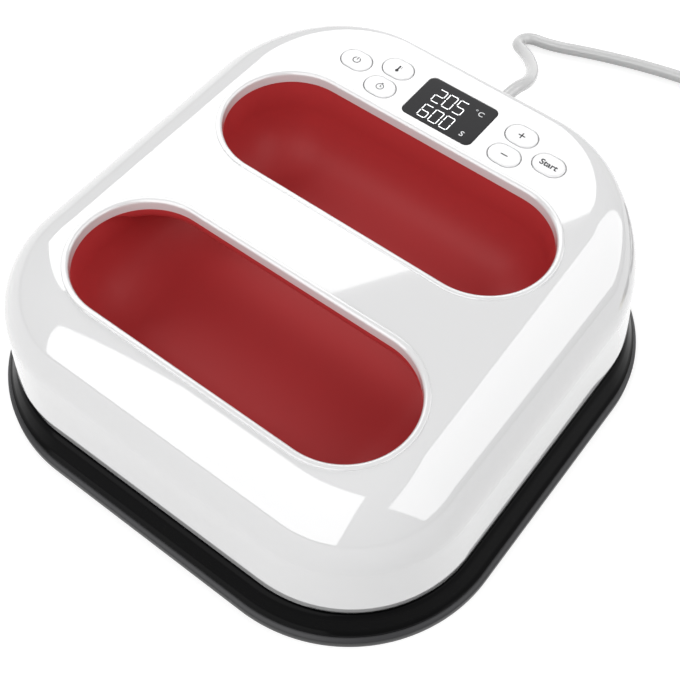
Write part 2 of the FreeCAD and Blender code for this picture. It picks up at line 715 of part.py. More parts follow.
def top_shell():
    shell = shell_form(0).cut(shell_form(SHELL_WALL))
    inside = shell_form(SHELL_WALL)
    bosses = []
    for places, low in (
        (tub_screw_places(), TUB_EAR_TOP),
        (grip_screw_places(), GRIP_BOTTOM + GRIP_FLOOR_T),
        (board_screw_places(), BOARD_TOP),
    ):
        for x, y in places:
            bosses.append(post(x, y, low, BOSS_D, SHELL_TOP - low).common(inside))
    mid_wall = shell_form(SHELL_WALL / 2)
    rims = [slot_tool(y, RIM_WALL, RIM_BOTTOM, SHELL_TOP).common(mid_wall) for y in SLOTS_Y]
    shell = shell.fuse(bosses + rims)
    beads = []
    for y in SLOTS_Y:
        ring = slot_tool(y, BEAD_WIDTH, SHELL_TOP - 1.2, SHELL_TOP + BEAD_H)
        beads.append(ring.makeFillet(BEAD_H * 0.9, edges_at(ring, SHELL_TOP + BEAD_H)))
    shell = shell.fuse(beads)
    cuts = [slot_tool(y, 0, RIM_BOTTOM - 1, SHELL_TOP + 2) for y in SLOTS_Y]
    cuts += [slot_edge_tool(y, SHELL_TOP + BEAD_H, BEAD_ROLL_R, -1) for y in SLOTS_Y]
    hole_length = KEY_LENGTH + 2 * KEY_GAP
    hole_width = KEY_WIDTH + 2 * KEY_GAP
    for x, y in KEYS.values():
        cuts.append(stadium(x, y, hole_length, hole_width, CEILING - 1, SHELL_WALL + 2))
    pocket_z = SHELL_TOP - LENS_SUNK - LENS_T
    half_x = LENS_LENGTH / 2 + LENS_GAP
    half_y = LENS_WIDTH / 2 + LENS_GAP
    corner = LENS_CORNER_R + LENS_GAP
    cuts.append(slab(rounded_outline(half_x, LENS_Y - half_y, LENS_Y + half_y, corner, corner, pocket_z), 4))
    half_x -= LENS_LEDGE
    half_y -= LENS_LEDGE
    cuts.append(slab(rounded_outline(half_x, LENS_Y - half_y, LENS_Y + half_y, 1, 1, CEILING - 1), 6))
    neck = RELIEF_ROOT_D / 2 + RELIEF_NECK_GAP
    hole_start = V(0, REAR_WALL_Y - 2 * SHELL_WALL, CORD_EXIT_Z)
    cuts.append(Part.makeCylinder(neck, 3 * SHELL_WALL, hole_start, V(0, 1, 0)))
    for x, y in tub_screw_places():
        cuts.append(post(x, y, TUB_EAR_TOP - 1, SCREW_D, TUB_SCREW_LENGTH))
    for x, y in grip_screw_places():
        cuts.append(post(x, y, GRIP_BOTTOM, SCREW_D, SHELL_TOP - 1.6 - GRIP_BOTTOM))
    for x, y in board_screw_places():
        cuts.append(post(x, y, BOARD_TOP - 1, SCREW_D, BOARD_SCREW_LENGTH + 1))
    low = HOOK_BOTTOM - HOOK_GAP
    cuts += hook_boxes(low, low + HOOK_H + 2 * HOOK_GAP, HOOK_GAP, HOOK_REACH + HOOK_GAP)
    return shell.cut(cuts)


def tub_form(offset, top):
    """The tub's smooth bowl, drawn out by offset."""
    grow = TUB_GAP + offset
    half_x = SLOT_LENGTH / 2 + grow
    front = SLOT_FRONT_Y - SLOT_WIDTH / 2 - grow
    rear = SLOT_REAR_Y + SLOT_WIDTH / 2 + grow
    corner = SLOT_WIDTH / 2 + grow
    low = TUB_FLOOR - offset
    form = slab(rounded_outline(half_x, front, rear, corner, corner, low), top - low)
    return form.makeFillet(TUB_BEND_R + offset, edges_at(form, low))


def grip_tub():
    form = tub_form(TUB_WALL, RIM_BOTTOM)
    ears = []
    for x, y in tub_screw_places():
        length = TUB_EAR_REACH + TUB_EAR_WIDTH
        ear = stadium(-TUB_EAR_REACH / 2, 0, length, TUB_EAR_WIDTH, TUB_EAR_TOP - TUB_EAR_T, TUB_EAR_T)
        if abs(x) < SLOT_LENGTH / 2:
            ear.rotate(V(0, 0, 0), UP, -90)
        elif x < 0:
            ear.rotate(V(0, 0, 0), UP, 180)
        ear.translate(V(x, y, 0))
        ears.append(ear)
    tub = form.fuse(ears).cut(tub_form(0, RIM_BOTTOM + 1))
    holes = [post(x, y, TUB_EAR_TOP - 5, SCREW_PASS_D, 8) for x, y in tub_screw_places()]
    return tub.cut(holes).removeSplitter()


def tub_screws():
    return small_screws(tub_screw_places(), TUB_EAR_TOP - TUB_EAR_T, TUB_SCREW_LENGTH, False)


def bar_underside():
    """The lower half of the handle bar: rounded below, flared at both ends along the slots."""
    half_x = SLOT_LENGTH / 2 + TUB_GAP - GRIP_GAP
    corner = SLOT_WIDTH / 2
    front = SLOT_FRONT_Y - SLOT_WIDTH / 2
    rear = SLOT_REAR_Y + SLOT_WIDTH / 2
    height = RIM_BOTTOM - GRIP_BOTTOM
    body = slab(rounded_outline(half_x, front, rear, corner, corner, GRIP_BOTTOM), height)
    low = GRIP_END_HALF - height * 1.3
    a = V(-HALF, BAR_Y - GRIP_END_HALF, RIM_BOTTOM)
    b = V(-HALF, BAR_Y - low, GRIP_BOTTOM)
    c = V(-HALF, BAR_Y + low, GRIP_BOTTOM)
    d = V(-HALF, BAR_Y + GRIP_END_HALF, RIM_BOTTOM)
    bow = height * 0.28
    left = V(-HALF, BAR_Y - (low + GRIP_END_HALF) / 2 - bow, (RIM_BOTTOM + GRIP_BOTTOM) / 2 - bow)
    right = V(-HALF, BAR_Y + (low + GRIP_END_HALF) / 2 + bow, (RIM_BOTTOM + GRIP_BOTTOM) / 2 - bow)
    profile = Part.Wire(
        [
            Part.Arc(a, left, b).toShape(),
            Part.LineSegment(b, c).toShape(),
            Part.Arc(c, right, d).toShape(),
            Part.LineSegment(d, a).toShape(),
        ]
    )
    body = body.common(Part.Face(profile).extrude(V(2 * HALF, 0, 0)))
    for y in SLOTS_Y:
        body = body.cut(slot_tool(y, 0, GRIP_BOTTOM - 1, RIM_BOTTOM + 1))
        body = body.cut(slot_edge_tool(y, GRIP_BOTTOM, GRIP_EDGE_R, 1))
    pocket_half = BAR_WIDTH / 2 - GRIP_SIDE_T
    floor = GRIP_BOTTOM + GRIP_FLOOR_T
    reach = GRIP_POCKET_HALF_X
    body = body.cut(box(-reach, reach, BAR_Y - pocket_half, BAR_Y + pocket_half, floor, SHELL_TOP))
    for x, y in grip_screw_places():
        body = body.cut(post(x, y, GRIP_BOTTOM - 1, SCREW_PASS_D, 9))
        body = body.cut(post(x, y, GRIP_BOTTOM - 1, SCREW_HEAD_D + 1, 1.8))
    return body


def slot_edge_tool(y, level, bend, side):
    """What rounds an edge along a slot: a ring, in section a square less a quarter round. The edge is
    at that level, with its piece above it where side is 1 and below it where side is -1."""
    radius = SLOT_WIDTH / 2
    reach = SLOT_LENGTH / 2 - radius
    diagonal = bend * (1 - math.sqrt(0.5))
    points = [
        V(0, radius - 1, level + side * bend),
        V(0, radius, level + side * bend),
        V(0, radius + diagonal, level + side * diagonal),
        V(0, radius + bend, level),
        V(0, radius + bend, level - side),
        V(0, radius - 1, level - side),
    ]

    def section():
        edges = [
            Part.LineSegment(points[0], points[1]).toShape(),
            Part.Arc(*points[1:4]).toShape(),
            Part.LineSegment(points[3], points[4]).toShape(),
            Part.LineSegment(points[4], points[5]).toShape(),
            Part.LineSegment(points[5], points[0]).toShape(),
        ]
        return Part.Face(Part.Wire(edges))

    straight = section()
    straight.translate(V(-reach, 0, 0))
    straight = straight.extrude(V(2 * reach, 0, 0))
    end = section().revolve(V(0, 0, 0), UP, -180)
    end.translate(V(reach, 0, 0))
    other_side = straight.mirror(V(0, 0, 0), V(0, 1, 0))
    other_end = end.mirror(V(0, 0, 0), V(1, 0, 0))
    tool = straight.fuse([other_side, end, other_end])
    tool.translate(V(0, y, 0))
    return tool


def grip_screws():
    solids = []
    for x, y in grip_screw_places():
        solids.append(screw(x, y, GRIP_BOTTOM + 0.8, SCREW_D, GRIP_SCREW_LENGTH, SCREW_HEAD_D, 0.8, False))
    return group(solids)


def display_lens():
    z = SHELL_TOP - LENS_SUNK - LENS_T
    half_x = LENS_LENGTH / 2
    half_y = LENS_WIDTH / 2
    lens = slab(
        rounded_outline(half_x, LENS_Y - half_y, LENS_Y + half_y, LENS_CORNER_R, LENS_CORNER_R, z), LENS_T
    )
    return lens.makeFillet(0.3, edges_at(lens, z + LENS_T))


def lcd_module():
    """The segment display: a glass block in a frame with solder feet, standing on the control board."""
    half_x = LCD_LENGTH / 2
    half_y = LCD_WIDTH / 2
    top = CEILING - 0.2
    frame = box(-half_x, half_x, LENS_Y - half_y, LENS_Y + half_y, BOARD_TOP + LCD_FOOT_H, top)
    inner_x = half_x - LCD_FRAME
    inner_y = half_y - LCD_FRAME
    glass_top = SHELL_TOP - LENS_SUNK - LENS_T - 0.2
    glass = box(-inner_x, inner_x, LENS_Y - inner_y, LENS_Y + inner_y, top - 1, glass_top)
    feet = []
    for side in (-1, 1):
        x = side * (half_x - 2)
        feet.append(box(x - 1, x + 1, LENS_Y - half_y, LENS_Y + half_y, BOARD_TOP, BOARD_TOP + LCD_FOOT_H))
    return frame.fuse([glass] + feet).removeSplitter()


def key(x, y):
    """A key cap with its guide flange and the stem above its switch."""
    top = SHELL_TOP + KEY_PROUD
    flange_top = CEILING - KEY_SEAT_GAP
    cap = stadium(x, y, KEY_LENGTH, KEY_WIDTH, top - KEY_THICKNESS, KEY_THICKNESS)
    cap = cap.makeFillet(0.5, edges_at(cap, top))
    grow = 2 * (KEY_GAP + KEY_FLANGE)
    flange = stadium(x, y, KEY_LENGTH + grow, KEY_WIDTH + grow, flange_top - KEY_FLANGE_T, KEY_FLANGE_T)
    low = BOARD_TOP + SWITCH_H + SWITCH_BUTTON_H + KEY_REST_GAP
    stem = post(x, y, low, KEY_STEM_D, top - KEY_THICKNESS + 1 - low)
    return cap.fuse([flange, stem]).removeSplitter()


def key_switches():
    solids = []
    half = SWITCH_SIZE / 2
    for x, y in KEYS.values():
        base = box(x - half, x + half, y - half, y + half, BOARD_TOP, BOARD_TOP + SWITCH_H)
        solids.append(base.fuse(post(x, y, BOARD_TOP, SWITCH_BUTTON_D, SWITCH_H + SWITCH_BUTTON_H)))
    return group(solids)


def control_board():
    board = slab(
        rounded_outline(BOARD_HALF_X, BOARD_FRONT, BOARD_REAR, 3, 3, BOARD_TOP - BOARD_T), BOARD_T
    )
    board = board.common(shell_form(SHELL_WALL + BOARD_WALL_GAP))
    return board.cut([post(x, y, BOARD_TOP - 5, SCREW_PASS_D, 8) for x, y in board_screw_places()])


def control_board_screws():
    return small_screws(board_screw_places(), BOARD_TOP - BOARD_T, BOARD_SCREW_LENGTH, False)


def buzzer():
    y = BOARD_REAR - BUZZER_INSET
    low = BOARD_TOP - BOARD_T - BUZZER_H
    return post(BUZZER_X, y, low, BUZZER_D, BUZZER_H).cut(post(BUZZER_X, y, low - 1, 2, 3))


def power_screw_places():
    reach = POWER_HALF_X - POWER_SCREW_SIDE
    places = []
    for x in (-reach, reach):
        places.append((x, POWER_FRONT + POWER_SCREW_INSET))
        places.append((x, POWER_REAR - POWER_SCREW_INSET))
    return places


def power_board():
    outline = rounded_outline(POWER_HALF_X, POWER_FRONT, POWER_REAR, 2, 2, POWER_BOTTOM)
    holes = [post(x, y, POWER_BOTTOM - 1, SCREW_PASS_D, 5) for x, y in power_screw_places()]
    return slab(outline, BOARD_T).cut(holes)


def power_board_screws():
    return small_screws(power_screw_places(), POWER_TOP, POWER_SCREW_LENGTH)


def transformer():
    """An iron core on a bobbin, with the coil showing between the core's legs."""
    x = -30.0
    y = POWER_Y
    core = box(x - 14, x + 14, y - 7, y + 7, POWER_TOP + 3, POWER_TOP + 24)
    core = core.cut(box(x - 9, x - 4, y - 8, y + 8, POWER_TOP + 7, POWER_TOP + 20))
    core = core.cut(box(x + 4, x + 9, y - 8, y + 8, POWER_TOP + 7, POWER_TOP + 20))
    coil = box(x - 8.6, x + 8.6, y - 9, y + 9, POWER_TOP + 7.4, POWER_TOP + 19.6)
    coil = coil.makeFillet(2.0, [e for e in coil.Edges if abs(e.BoundBox.ZLength - 12.2) < 0.01])
    foot = box(x - 11, x + 11, y - 8, y + 8, POWER_TOP, POWER_TOP + 3)
    return core.fuse([coil, foot]).removeSplitter()


def relay():
    body = box(-12, 7, POWER_Y - 8, POWER_Y + 7, POWER_TOP, POWER_TOP + 15)
    return body.makeFillet(0.8, [e for e in body.Edges if e.BoundBox.ZMax > POWER_TOP + 1])


def filter_capacitor():
    body = post(18, POWER_Y, POWER_TOP, 10, 16)
    return body.makeFillet(0.8, edges_at(body, POWER_TOP + 16))


def terminal_block():
    """Three screw terminals in a moulded block."""
    x = BLOCK_X + BLOCK_LENGTH / 2
    half_y = BLOCK_WIDTH / 2
    top = POWER_TOP + BLOCK_H
    body = box(x - BLOCK_LENGTH, x, POWER_Y - half_y, POWER_Y + half_y, POWER_TOP, top)
    for step in (-1, 0, 1):
        y = POWER_Y + BLOCK_PITCH * step
        body = body.cut(post(BLOCK_SCREW_X, y, top - BLOCK_SCREW_DEPTH, 4.2, BLOCK_SCREW_DEPTH + 2))
        body = body.cut(box(x - 3, x + 1, y - 2.4, y + 2.4, POWER_TOP + 3, POWER_TOP + 8))
    return body


def collar_form(low, high, offset):
    """What the shell's wall encloses between two levels, drawn in by offset."""
    return Part.makeLoft([wall_outline(low, offset), wall_outline(high, offset)], True, True)


def base_skirt():
    """The lower housing: a sloping foot, a deck on the plate's bosses and a collar inside the shell."""
    low = PLATE_EDGE_H + SKIRT_GAP
    mid = low + SKIRT_FOOT_H
    foot = slab(plate_outline(SKIRT_FOOT_INSET, low), SKIRT_FOOT_H)
    crown = wall_outline(SKIRT_TOP, SKIRT_TUCK)
    body = foot.fuse(Part.makeLoft([plate_outline(SKIRT_FOOT_INSET, mid), crown], True, True))
    outer = SHELL_WALL + COLLAR_GAP
    collar = collar_form(SKIRT_TOP - 2, COLLAR_TOP, outer)
    bore = collar_form(SKIRT_TOP - 3, COLLAR_TOP + 1, outer + COLLAR_T)
    body = body.cut(slab(plate_outline(SKIRT_CAVITY_INSET, low - 1), PLATE_BOSS_TOP - low + 1))
    body = body.cut(slab(plate_outline(DECK_WINDOW_INSET, low - 1), 30))
    body = body.cut(slab(plate_outline(SKIRT_POCKET_INSET, DECK_TOP), 10))
    body = body.fuse(collar.cut(bore))
    wall_y = REAR_WALL_Y - outer - COLLAR_T / 2
    shelf = box(-SHELF_HALF_X, SHELF_HALF_X, SHELF_FRONT, wall_y, SHELF_BOTTOM, SHELF_TOP)
    extras = [shelf.common(collar)]
    inside = collar_form(SKIRT_TOP - 8, COLLAR_TOP, outer)
    rib_front = HALF - SHIELD_FLANGE_INSET + 0.5
    low = SHELF_BOTTOM + 0.5
    for x in (-SHELF_HALF_X + RIB_T, -RIB_INNER_X, RIB_INNER_X, SHELF_HALF_X - 2 * RIB_T):
        extras.append(box(x, x + RIB_T, rib_front, wall_y, DECK_TOP - 0.5, low).common(inside))
    for x, y in power_screw_places():
        extras.append(post(x, y, low, BOSS_D, POWER_BOTTOM - low))
    saddle_z = CORD_EXIT_Z - INNER_LEAD_D / 2
    for x in (-CLAMP_POST_X, CLAMP_POST_X):
        extras.append(post(x, CLAMP_POST_Y, low, BOSS_D, saddle_z - low))
    extras.append(box(-CLAMP_POST_X, CLAMP_POST_X, CLAMP_POST_Y - 2, CLAMP_POST_Y + 2, low, saddle_z))
    body = body.fuse(extras + hook_boxes(HOOK_BOTTOM, HOOK_BOTTOM + HOOK_H, 0, HOOK_REACH))
    cuts = []
    for x, y in plate_screw_places():
        cuts.append(post(x, y, PLATE_BOSS_TOP - 1, PLATE_SCREW_D + 2 * SCREW_HOLE_GAP, DECK_T + 2))
    for x, y in shield_screw_places():
        cuts.append(post(x, y, PLATE_BOSS_TOP - 1, SCREW_D, DECK_T + 2))
    for x, y in power_screw_places():
        cuts.append(post(x, y, low, SCREW_D, POWER_TOP - low))
    for x in (-CLAMP_POST_X, CLAMP_POST_X):
        cuts.append(post(x, CLAMP_POST_Y, saddle_z - SADDLE_SCREW_LENGTH, SCREW_D, SADDLE_SCREW_LENGTH + 2))
    return body.cut(cuts)


def cord_clamp():
    """A saddle that holds the lead down on its two posts."""
    inner = INNER_LEAD_D / 2
    z = CORD_EXIT_Z
    base = z - inner
    outer = inner + SADDLE_T
    y0 = CLAMP_POST_Y - SADDLE_WIDTH / 2
    y1 = y0 + SADDLE_WIDTH
    reach = CLAMP_POST_X + BOSS_D / 2
    saddle = Part.makeCylinder(outer, SADDLE_WIDTH, V(0, y0, z), V(0, 1, 0))
    saddle = saddle.fuse(box(-outer, outer, y0, y1, base, z))
    saddle = saddle.fuse(box(-reach, reach, y0, y1, base, base + SADDLE_T))
    saddle = saddle.cut(box(-reach, reach, y0 - 1, y1 + 1, base - 5, base))
    saddle = saddle.cut(Part.makeCylinder(inner, SADDLE_WIDTH + 2, V(0, y0 - 1, z), V(0, 1, 0)))
    saddle = saddle.cut(box(-inner, inner, y0 - 1, y1 + 1, base - 1, z))
    for x in (-CLAMP_POST_X, CLAMP_POST_X):
        saddle = saddle.cut(post(x, CLAMP_POST_Y, base - 1, SCREW_PASS_D, 6))
    return saddle


def cord_clamp_screws():
    seat = CORD_EXIT_Z - INNER_LEAD_D / 2 + SADDLE_T
    places = [(-CLAMP_POST_X, CLAMP_POST_Y), (CLAMP_POST_X, CLAMP_POST_Y)]
    return small_screws(places, seat, SADDLE_SCREW_LENGTH)


def cord_strain_relief():
    """A ribbed sleeve, gripped in the wall between its two flanges."""
    inner_face = REAR_WALL_Y - SHELL_WALL
    start = inner_face - RELIEF_FLANGE_T - 0.2
    tip = REAR_WALL_Y + RELIEF_LENGTH
    outline = [
        (start, 0),
        (start, RELIEF_FLANGE_D / 2),
        (inner_face - 0.2, RELIEF_FLANGE_D / 2),
        (inner_face - 0.2, RELIEF_ROOT_D / 2),
        (REAR_WALL_Y + 0.2, RELIEF_ROOT_D / 2),
        (REAR_WALL_Y + 0.2, RELIEF_FLANGE_D / 2),
        (REAR_WALL_Y + 0.2 + RELIEF_FLANGE_T, RELIEF_FLANGE_D / 2),
    ]
    ribs = 5
    first = REAR_WALL_Y + 0.2 + RELIEF_FLANGE_T
    pitch = (tip - first) / ribs
    for i in range(ribs):
        radius = (RELIEF_ROOT_D + (RELIEF_TIP_D - RELIEF_ROOT_D) * (i + 0.5) / ribs) / 2
        y = first + i * pitch
        step = y + pitch * 0.42
        outline += [(y, radius - 1.1), (step, radius - 1.1), (step, radius), (y + pitch, radius)]
    outline.append((tip, 0))
    points = [V(0, y, r) for y, r in outline]
    sleeve = Part.Face(Part.makePolygon(points + [points[0]])).revolve(V(0, 0, 0), V(0, 1, 0), 360)
    sleeve.translate(V(0, 0, CORD_EXIT_Z))
    return sleeve


def bent_path(points):
    """Straight runs joined by tangent arcs, each as large as its two runs allow. Returns wire and radii."""
    route = [V(*p) for p in points]
    edges = []
    radii = []
    last = route[0]
    for before, here, after in zip(route, route[1:], route[2:]):
        back = before - here
        ahead = after - here
        shorter = min(back.Length, ahead.Length)
        back.normalize()
        ahead.normalize()
        turn = math.pi - back.getAngle(ahead)
        radius = 0.45 * shorter / math.tan(turn / 2)
        reach = 0.45 * shorter
        start = here + back * reach
        end = here + ahead * reach
        inward = back + ahead
        inward.normalize()
        middle = here + inward * (radius / math.cos(turn / 2) - radius)
        edges.append(Part.LineSegment(last, start).toShape())
        edges.append(Part.Arc(start, middle, end).toShape())
        radii.append(radius)
        last = end
    edges.append(Part.LineSegment(last, route[-1]).toShape())
    return Part.Wire(edges), radii


def inner_lead():
    """The stripped lead from the sleeve through the saddle to the terminal block."""
    start = REAR_WALL_Y - SHELL_WALL - RELIEF_FLANGE_T - 0.2
    low = POWER_TOP + BLOCK_H - BLOCK_SCREW_DEPTH
    points = [
        (0, start, CORD_EXIT_Z),
        (0, CLAMP_POST_Y - 7.0, CORD_EXIT_Z),
        (0.27 * BLOCK_SCREW_X, POWER_Y, CORD_EXIT_Z - 0.8),
        (0.65 * BLOCK_SCREW_X, POWER_Y - 1.0, CORD_EXIT_Z - 2.0),
        (BLOCK_SCREW_X, POWER_Y, low + 9.5),
        (BLOCK_SCREW_X, POWER_Y, low),
    ]
    path, radii = bent_path(points)
    return round_tube(path, INNER_LEAD_D - 2 * INNER_LEAD_GAP)


def coil_entry():
    """Where the coil's tube starts and where its spiral starts, one cord diameter apart."""
    radius = COIL_MEAN_R + COIL_PITCH * COIL_LOWER_TURNS / 2
    top = V(COIL_CENTRE[0], COIL_CENTRE[1] + radius, COIL_Z)
    return top - V(CORD_D, 0, 0), top


def cord_lead():
    start, top = coil_entry()
    path, radii = bent_path(LEAD_ROUTE + [tuple(start - V(LEAD_LAST_RUN, 0, 0)), tuple(start)])
    tube = round_tube(path, CORD_D)
    ratio = tube.Volume / (math.pi * CORD_D**2 / 4 * path.Length)
    print("lead length", round(path.Length, 1), "volume ratio", round(ratio, 4))
    print("lead radii", [round(radius, 1) for radius in radii])
    return tube


def coil_point(turn):
    """A point of the coil's centre line and its direction, after so many turns, clockwise from the top."""
    outer = COIL_MEAN_R + COIL_PITCH * COIL_LOWER_TURNS / 2
    reversal = COIL_LOWER_TURNS + COIL_CLIMB_TURNS / 2
    climb_end = COIL_LOWER_TURNS + COIL_CLIMB_TURNS
    if turn < reversal:
        radius = outer - COIL_PITCH * turn
    else:
        radius = outer - COIL_PITCH * reversal + COIL_PITCH * (turn - reversal)
    rise = min(max((turn - COIL_LOWER_TURNS) / COIL_CLIMB_TURNS, 0), 1)
    z = COIL_Z + COIL_PITCH * (3 * rise**2 - 2 * rise**3)
    angle = math.pi / 2 - 2 * math.pi * turn
    return V(COIL_CENTRE[0] + radius * math.cos(angle), COIL_CENTRE[1] + radius * math.sin(angle), z)


def coil_direction(turn):
    step = 1e-4
    reversal = COIL_LOWER_TURNS + COIL_CLIMB_TURNS / 2
    if abs(turn - reversal) < 1e-9 or turn == 0:
        angle = math.pi / 2 - 2 * math.pi * turn
        flat = V(math.sin(angle), -math.cos(angle), 0)
        rise = coil_point(turn + step).z - coil_point(turn - step).z if turn > 0 else 0
        slope = rise / (coil_point(turn + step) - coil_point(turn - step)).Length if turn > 0 else 0
        return (flat + V(0, 0, slope)).normalize()
    return (coil_point(turn + step) - coil_point(turn - step)).normalize()


def biarc(start, start_dir, end, end_dir):
    """Two tangent arcs from start to end with the given directions."""
    chord = end - start
    both = start_dir + end_dir
    a = 2 * (1 - start_dir.dot(end_dir))
    b = 2 * chord.dot(both)
    c = -chord.dot(chord)
    reach = (-b + math.sqrt(b * b - 4 * a * c)) / (2 * a)
    first = start + start_dir * reach
    second = end - end_dir * reach
    joint = (first + second) * 0.5
    edges = []
    for p, corner, q in ((start, first, joint), (joint, second, end)):
        back = (p - corner).normalize()
        ahead = (q - corner).normalize()
        half_turn = (math.pi - back.getAngle(ahead)) / 2
        radius = (p - corner).Length / math.tan(half_turn)
        inward = (back + ahead).normalize()
        middle = corner + inward * (radius / math.cos(half_turn) - radius)
        edges.append(Part.Arc(p, middle, q).toShape())
    return edges


def coil_path():
    total = COIL_LOWER_TURNS + COIL_CLIMB_TURNS + COIL_UPPER_TURNS
    start, top = coil_entry()
    quarters = int(round(total * 4))
    edges = [Part.LineSegment(start, top).toShape()]
    for i in range(quarters):
        a = i / 4
        b = (i + 1) / 4
        edges += biarc(coil_point(a), coil_direction(a), coil_point(b), coil_direction(b))
    last = coil_point(total)
    along = coil_direction(total)
    edges.append(Part.LineSegment(last, last + along * COIL_TAIL).toShape())
    return Part.Wire(edges)


def least_self_gap(path, diameter, skip):
    """Smallest clear distance between turns, on points along the path."""
    points = path.discretize(Number=700)
    spacing = path.Length / 699
    apart = int(skip / spacing)
    least = 1e9
    for i, p in enumerate(points):
        for q in points[i + apart:]:
            least = min(least, (p - q).Length)
    return least - diameter


def cord_coil():
    path = coil_path()
    tube = round_tube(path, CORD_D)
    ratio = tube.Volume / (math.pi * CORD_D**2 / 4 * path.Length)
    print("coil length", round(path.Length, 1), "least gap", round(least_self_gap(path, CORD_D, 60), 3))
    print("coil volume ratio", round(ratio, 4))
    return tube


def coil_tie():
    """A soft strap round the turns on the coil's left side."""
    sag = (TIE_WIDTH / 2) ** 2 / (2 * (COIL_MEAN_R - COIL_PITCH * 1.5))
    inner_r = COIL_MEAN_R + COIL_PITCH * (COIL_LOWER_TURNS / 2 - COIL_LOWER_TURNS - COIL_CLIMB_TURNS / 2)
    low_x = inner_r - CORD_D / 2 - sag - TIE_GAP
    high_x = COIL_MEAN_R + COIL_PITCH * (COIL_LOWER_TURNS / 2 - 0.75) + CORD_D / 2 + TIE_GAP
    low_z = COIL_Z - CORD_D / 2 - (COIL_LIFT - TIE_T) / 2
    high_z = COIL_Z + COIL_PITCH + CORD_D / 2 + TIE_GAP
    y0 = COIL_CENTRE[1] - TIE_WIDTH / 2

    left = COIL_CENTRE[0] - high_x
    right = COIL_CENTRE[0] - low_x

    def loop(grow, width):
        solid = box(left - grow, right + grow, y0, y0 + width, low_z - grow, high_z + grow)
        along = [e for e in solid.Edges if e.BoundBox.YLength > width - 0.01]
        return solid.makeFillet(2.4 + grow, along)

    return loop(TIE_T, TIE_WIDTH).cut(loop(0, TIE_WIDTH))


def plug_place():
    """The plug's cable end and its direction."""
    total = COIL_LOWER_TURNS + COIL_CLIMB_TURNS + COIL_UPPER_TURNS
    along = coil_direction(total)
    return coil_point(total) + along * COIL_TAIL, along


def seat_on_cord(shape):
    """Carries a shape drawn along +Y from the origin to the cord's far end."""
    end, along = plug_place()
    turn = math.degrees(math.atan2(along.y, along.x)) - 90
    shape.rotate(V(0, 0, 0), UP, turn)
    shape.translate(end)
    return shape


def plug_body():
    """A moulded flat plug with a tapered neck."""
    half_h = COIL_Z + COIL_PITCH - 0.8
    width = PLUG_HALF_WIDTH

    def section(y, half_x, half_z, corner):
        wire = rounded_outline(half_x, -half_z, half_z, corner, corner, 0)
        wire.rotate(V(0, 0, 0), V(1, 0, 0), 90)
        wire.translate(V(0, y, 0))
        return wire

    grip = Part.makeLoft(
        [
            section(PLUG_NECK_LENGTH - 1, 7.2, 6.6, 5),
            section((PLUG_NECK_LENGTH + PLUG_SHOULDER) / 2 - 1, 10.6, half_h - 1.6, 6),
            section(PLUG_SHOULDER, width, half_h, 6),
            section(PLUG_LENGTH, width, half_h, 6),
        ],
        True,
        False,
    )
    neck = Part.makeCone(CORD_D / 2 + 1.0, PLUG_NECK_D / 2, PLUG_NECK_LENGTH, V(0, 0, 0), V(0, 1, 0))
    return seat_on_cord(neck.fuse(grip))


def plug_blades():
    solids = []
    for side in (-1, 1):
        x = side * BLADE_PITCH / 2
        end = PLUG_LENGTH + BLADE_LENGTH
        blade = box(x - BLADE_T / 2, x + BLADE_T / 2, PLUG_LENGTH, end, -2.0, BLADE_WIDTH - 2.0)
        tip = [e for e in blade.Edges if e.BoundBox.YMin > PLUG_LENGTH + 1 and e.BoundBox.XLength > 1]
        solids.append(seat_on_cord(blade.makeFillet(1.0, tip)))
    return group(solids)


def plug_earth_pin():
    pin = Part.makeCylinder(EARTH_PIN_D / 2, EARTH_PIN_LENGTH, V(0, PLUG_LENGTH, -EARTH_PIN_DROP), V(0, 1, 0))
    tip = [e for e in pin.Edges if e.BoundBox.YMin > PLUG_LENGTH + 1]
    return seat_on_cord(pin.makeFillet(1.6, tip))


NODES = {
    "heat_plate": heat_plate,
    "plate_screws": plate_screws,
    "heating_element": heating_element,
    "element_terminals": element_terminals,
    "element_clamps": element_clamps,
    "clamp_screws": clamp_screws,
    "temperature_probe": temperature_probe,
    "thermal_cutout": thermal_cutout,
    "sensor_screws": sensor_screws,
    "insulation_blanket": insulation_blanket,
    "heat_shield": heat_shield,
    "shield_screws": shield_screws,
    "base_skirt": base_skirt,
    "top_shell": top_shell,
    "grip_tub": grip_tub,
    "tub_screws": tub_screws,
    "bar_underside": bar_underside,
    "grip_screws": grip_screws,
    "display_lens": display_lens,
    "lcd_module": lcd_module,
    "key_switches": key_switches,
    "control_board": control_board,
    "control_board_screws": control_board_screws,
    "buzzer": buzzer,
    "power_board": power_board,
    "power_board_screws": power_board_screws,
    "transformer": transformer,
    "relay": relay,
    "filter_capacitor": filter_capacitor,
    "terminal_block": terminal_block,
    "cord_clamp": cord_clamp,
    "cord_clamp_screws": cord_clamp_screws,
    "inner_lead": inner_lead,
    "cord_strain_relief": cord_strain_relief,
    "cord_lead": cord_lead,
    "cord_coil": cord_coil,
    "coil_tie": coil_tie,
    "plug_body": plug_body,
    "plug_blades": plug_blades,
    "plug_earth_pin": plug_earth_pin,
}


def build():
    os.makedirs("parts", exist_ok=True)
    for name, make in NODES.items():
        make().exportStep("parts/" + name + ".step")
    for name, (x, y) in KEYS.items():
        key(x, y).exportStep("parts/" + name + ".step")


build()
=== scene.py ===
"""Looks for a mini handheld heat press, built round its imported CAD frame."""

import logging
import math
from dataclasses import dataclass, field, fields
from enum import Enum
from typing import Any, Iterable, Mapping, Optional, Sequence

import bmesh
import bpy
from mathutils import Matrix, Vector


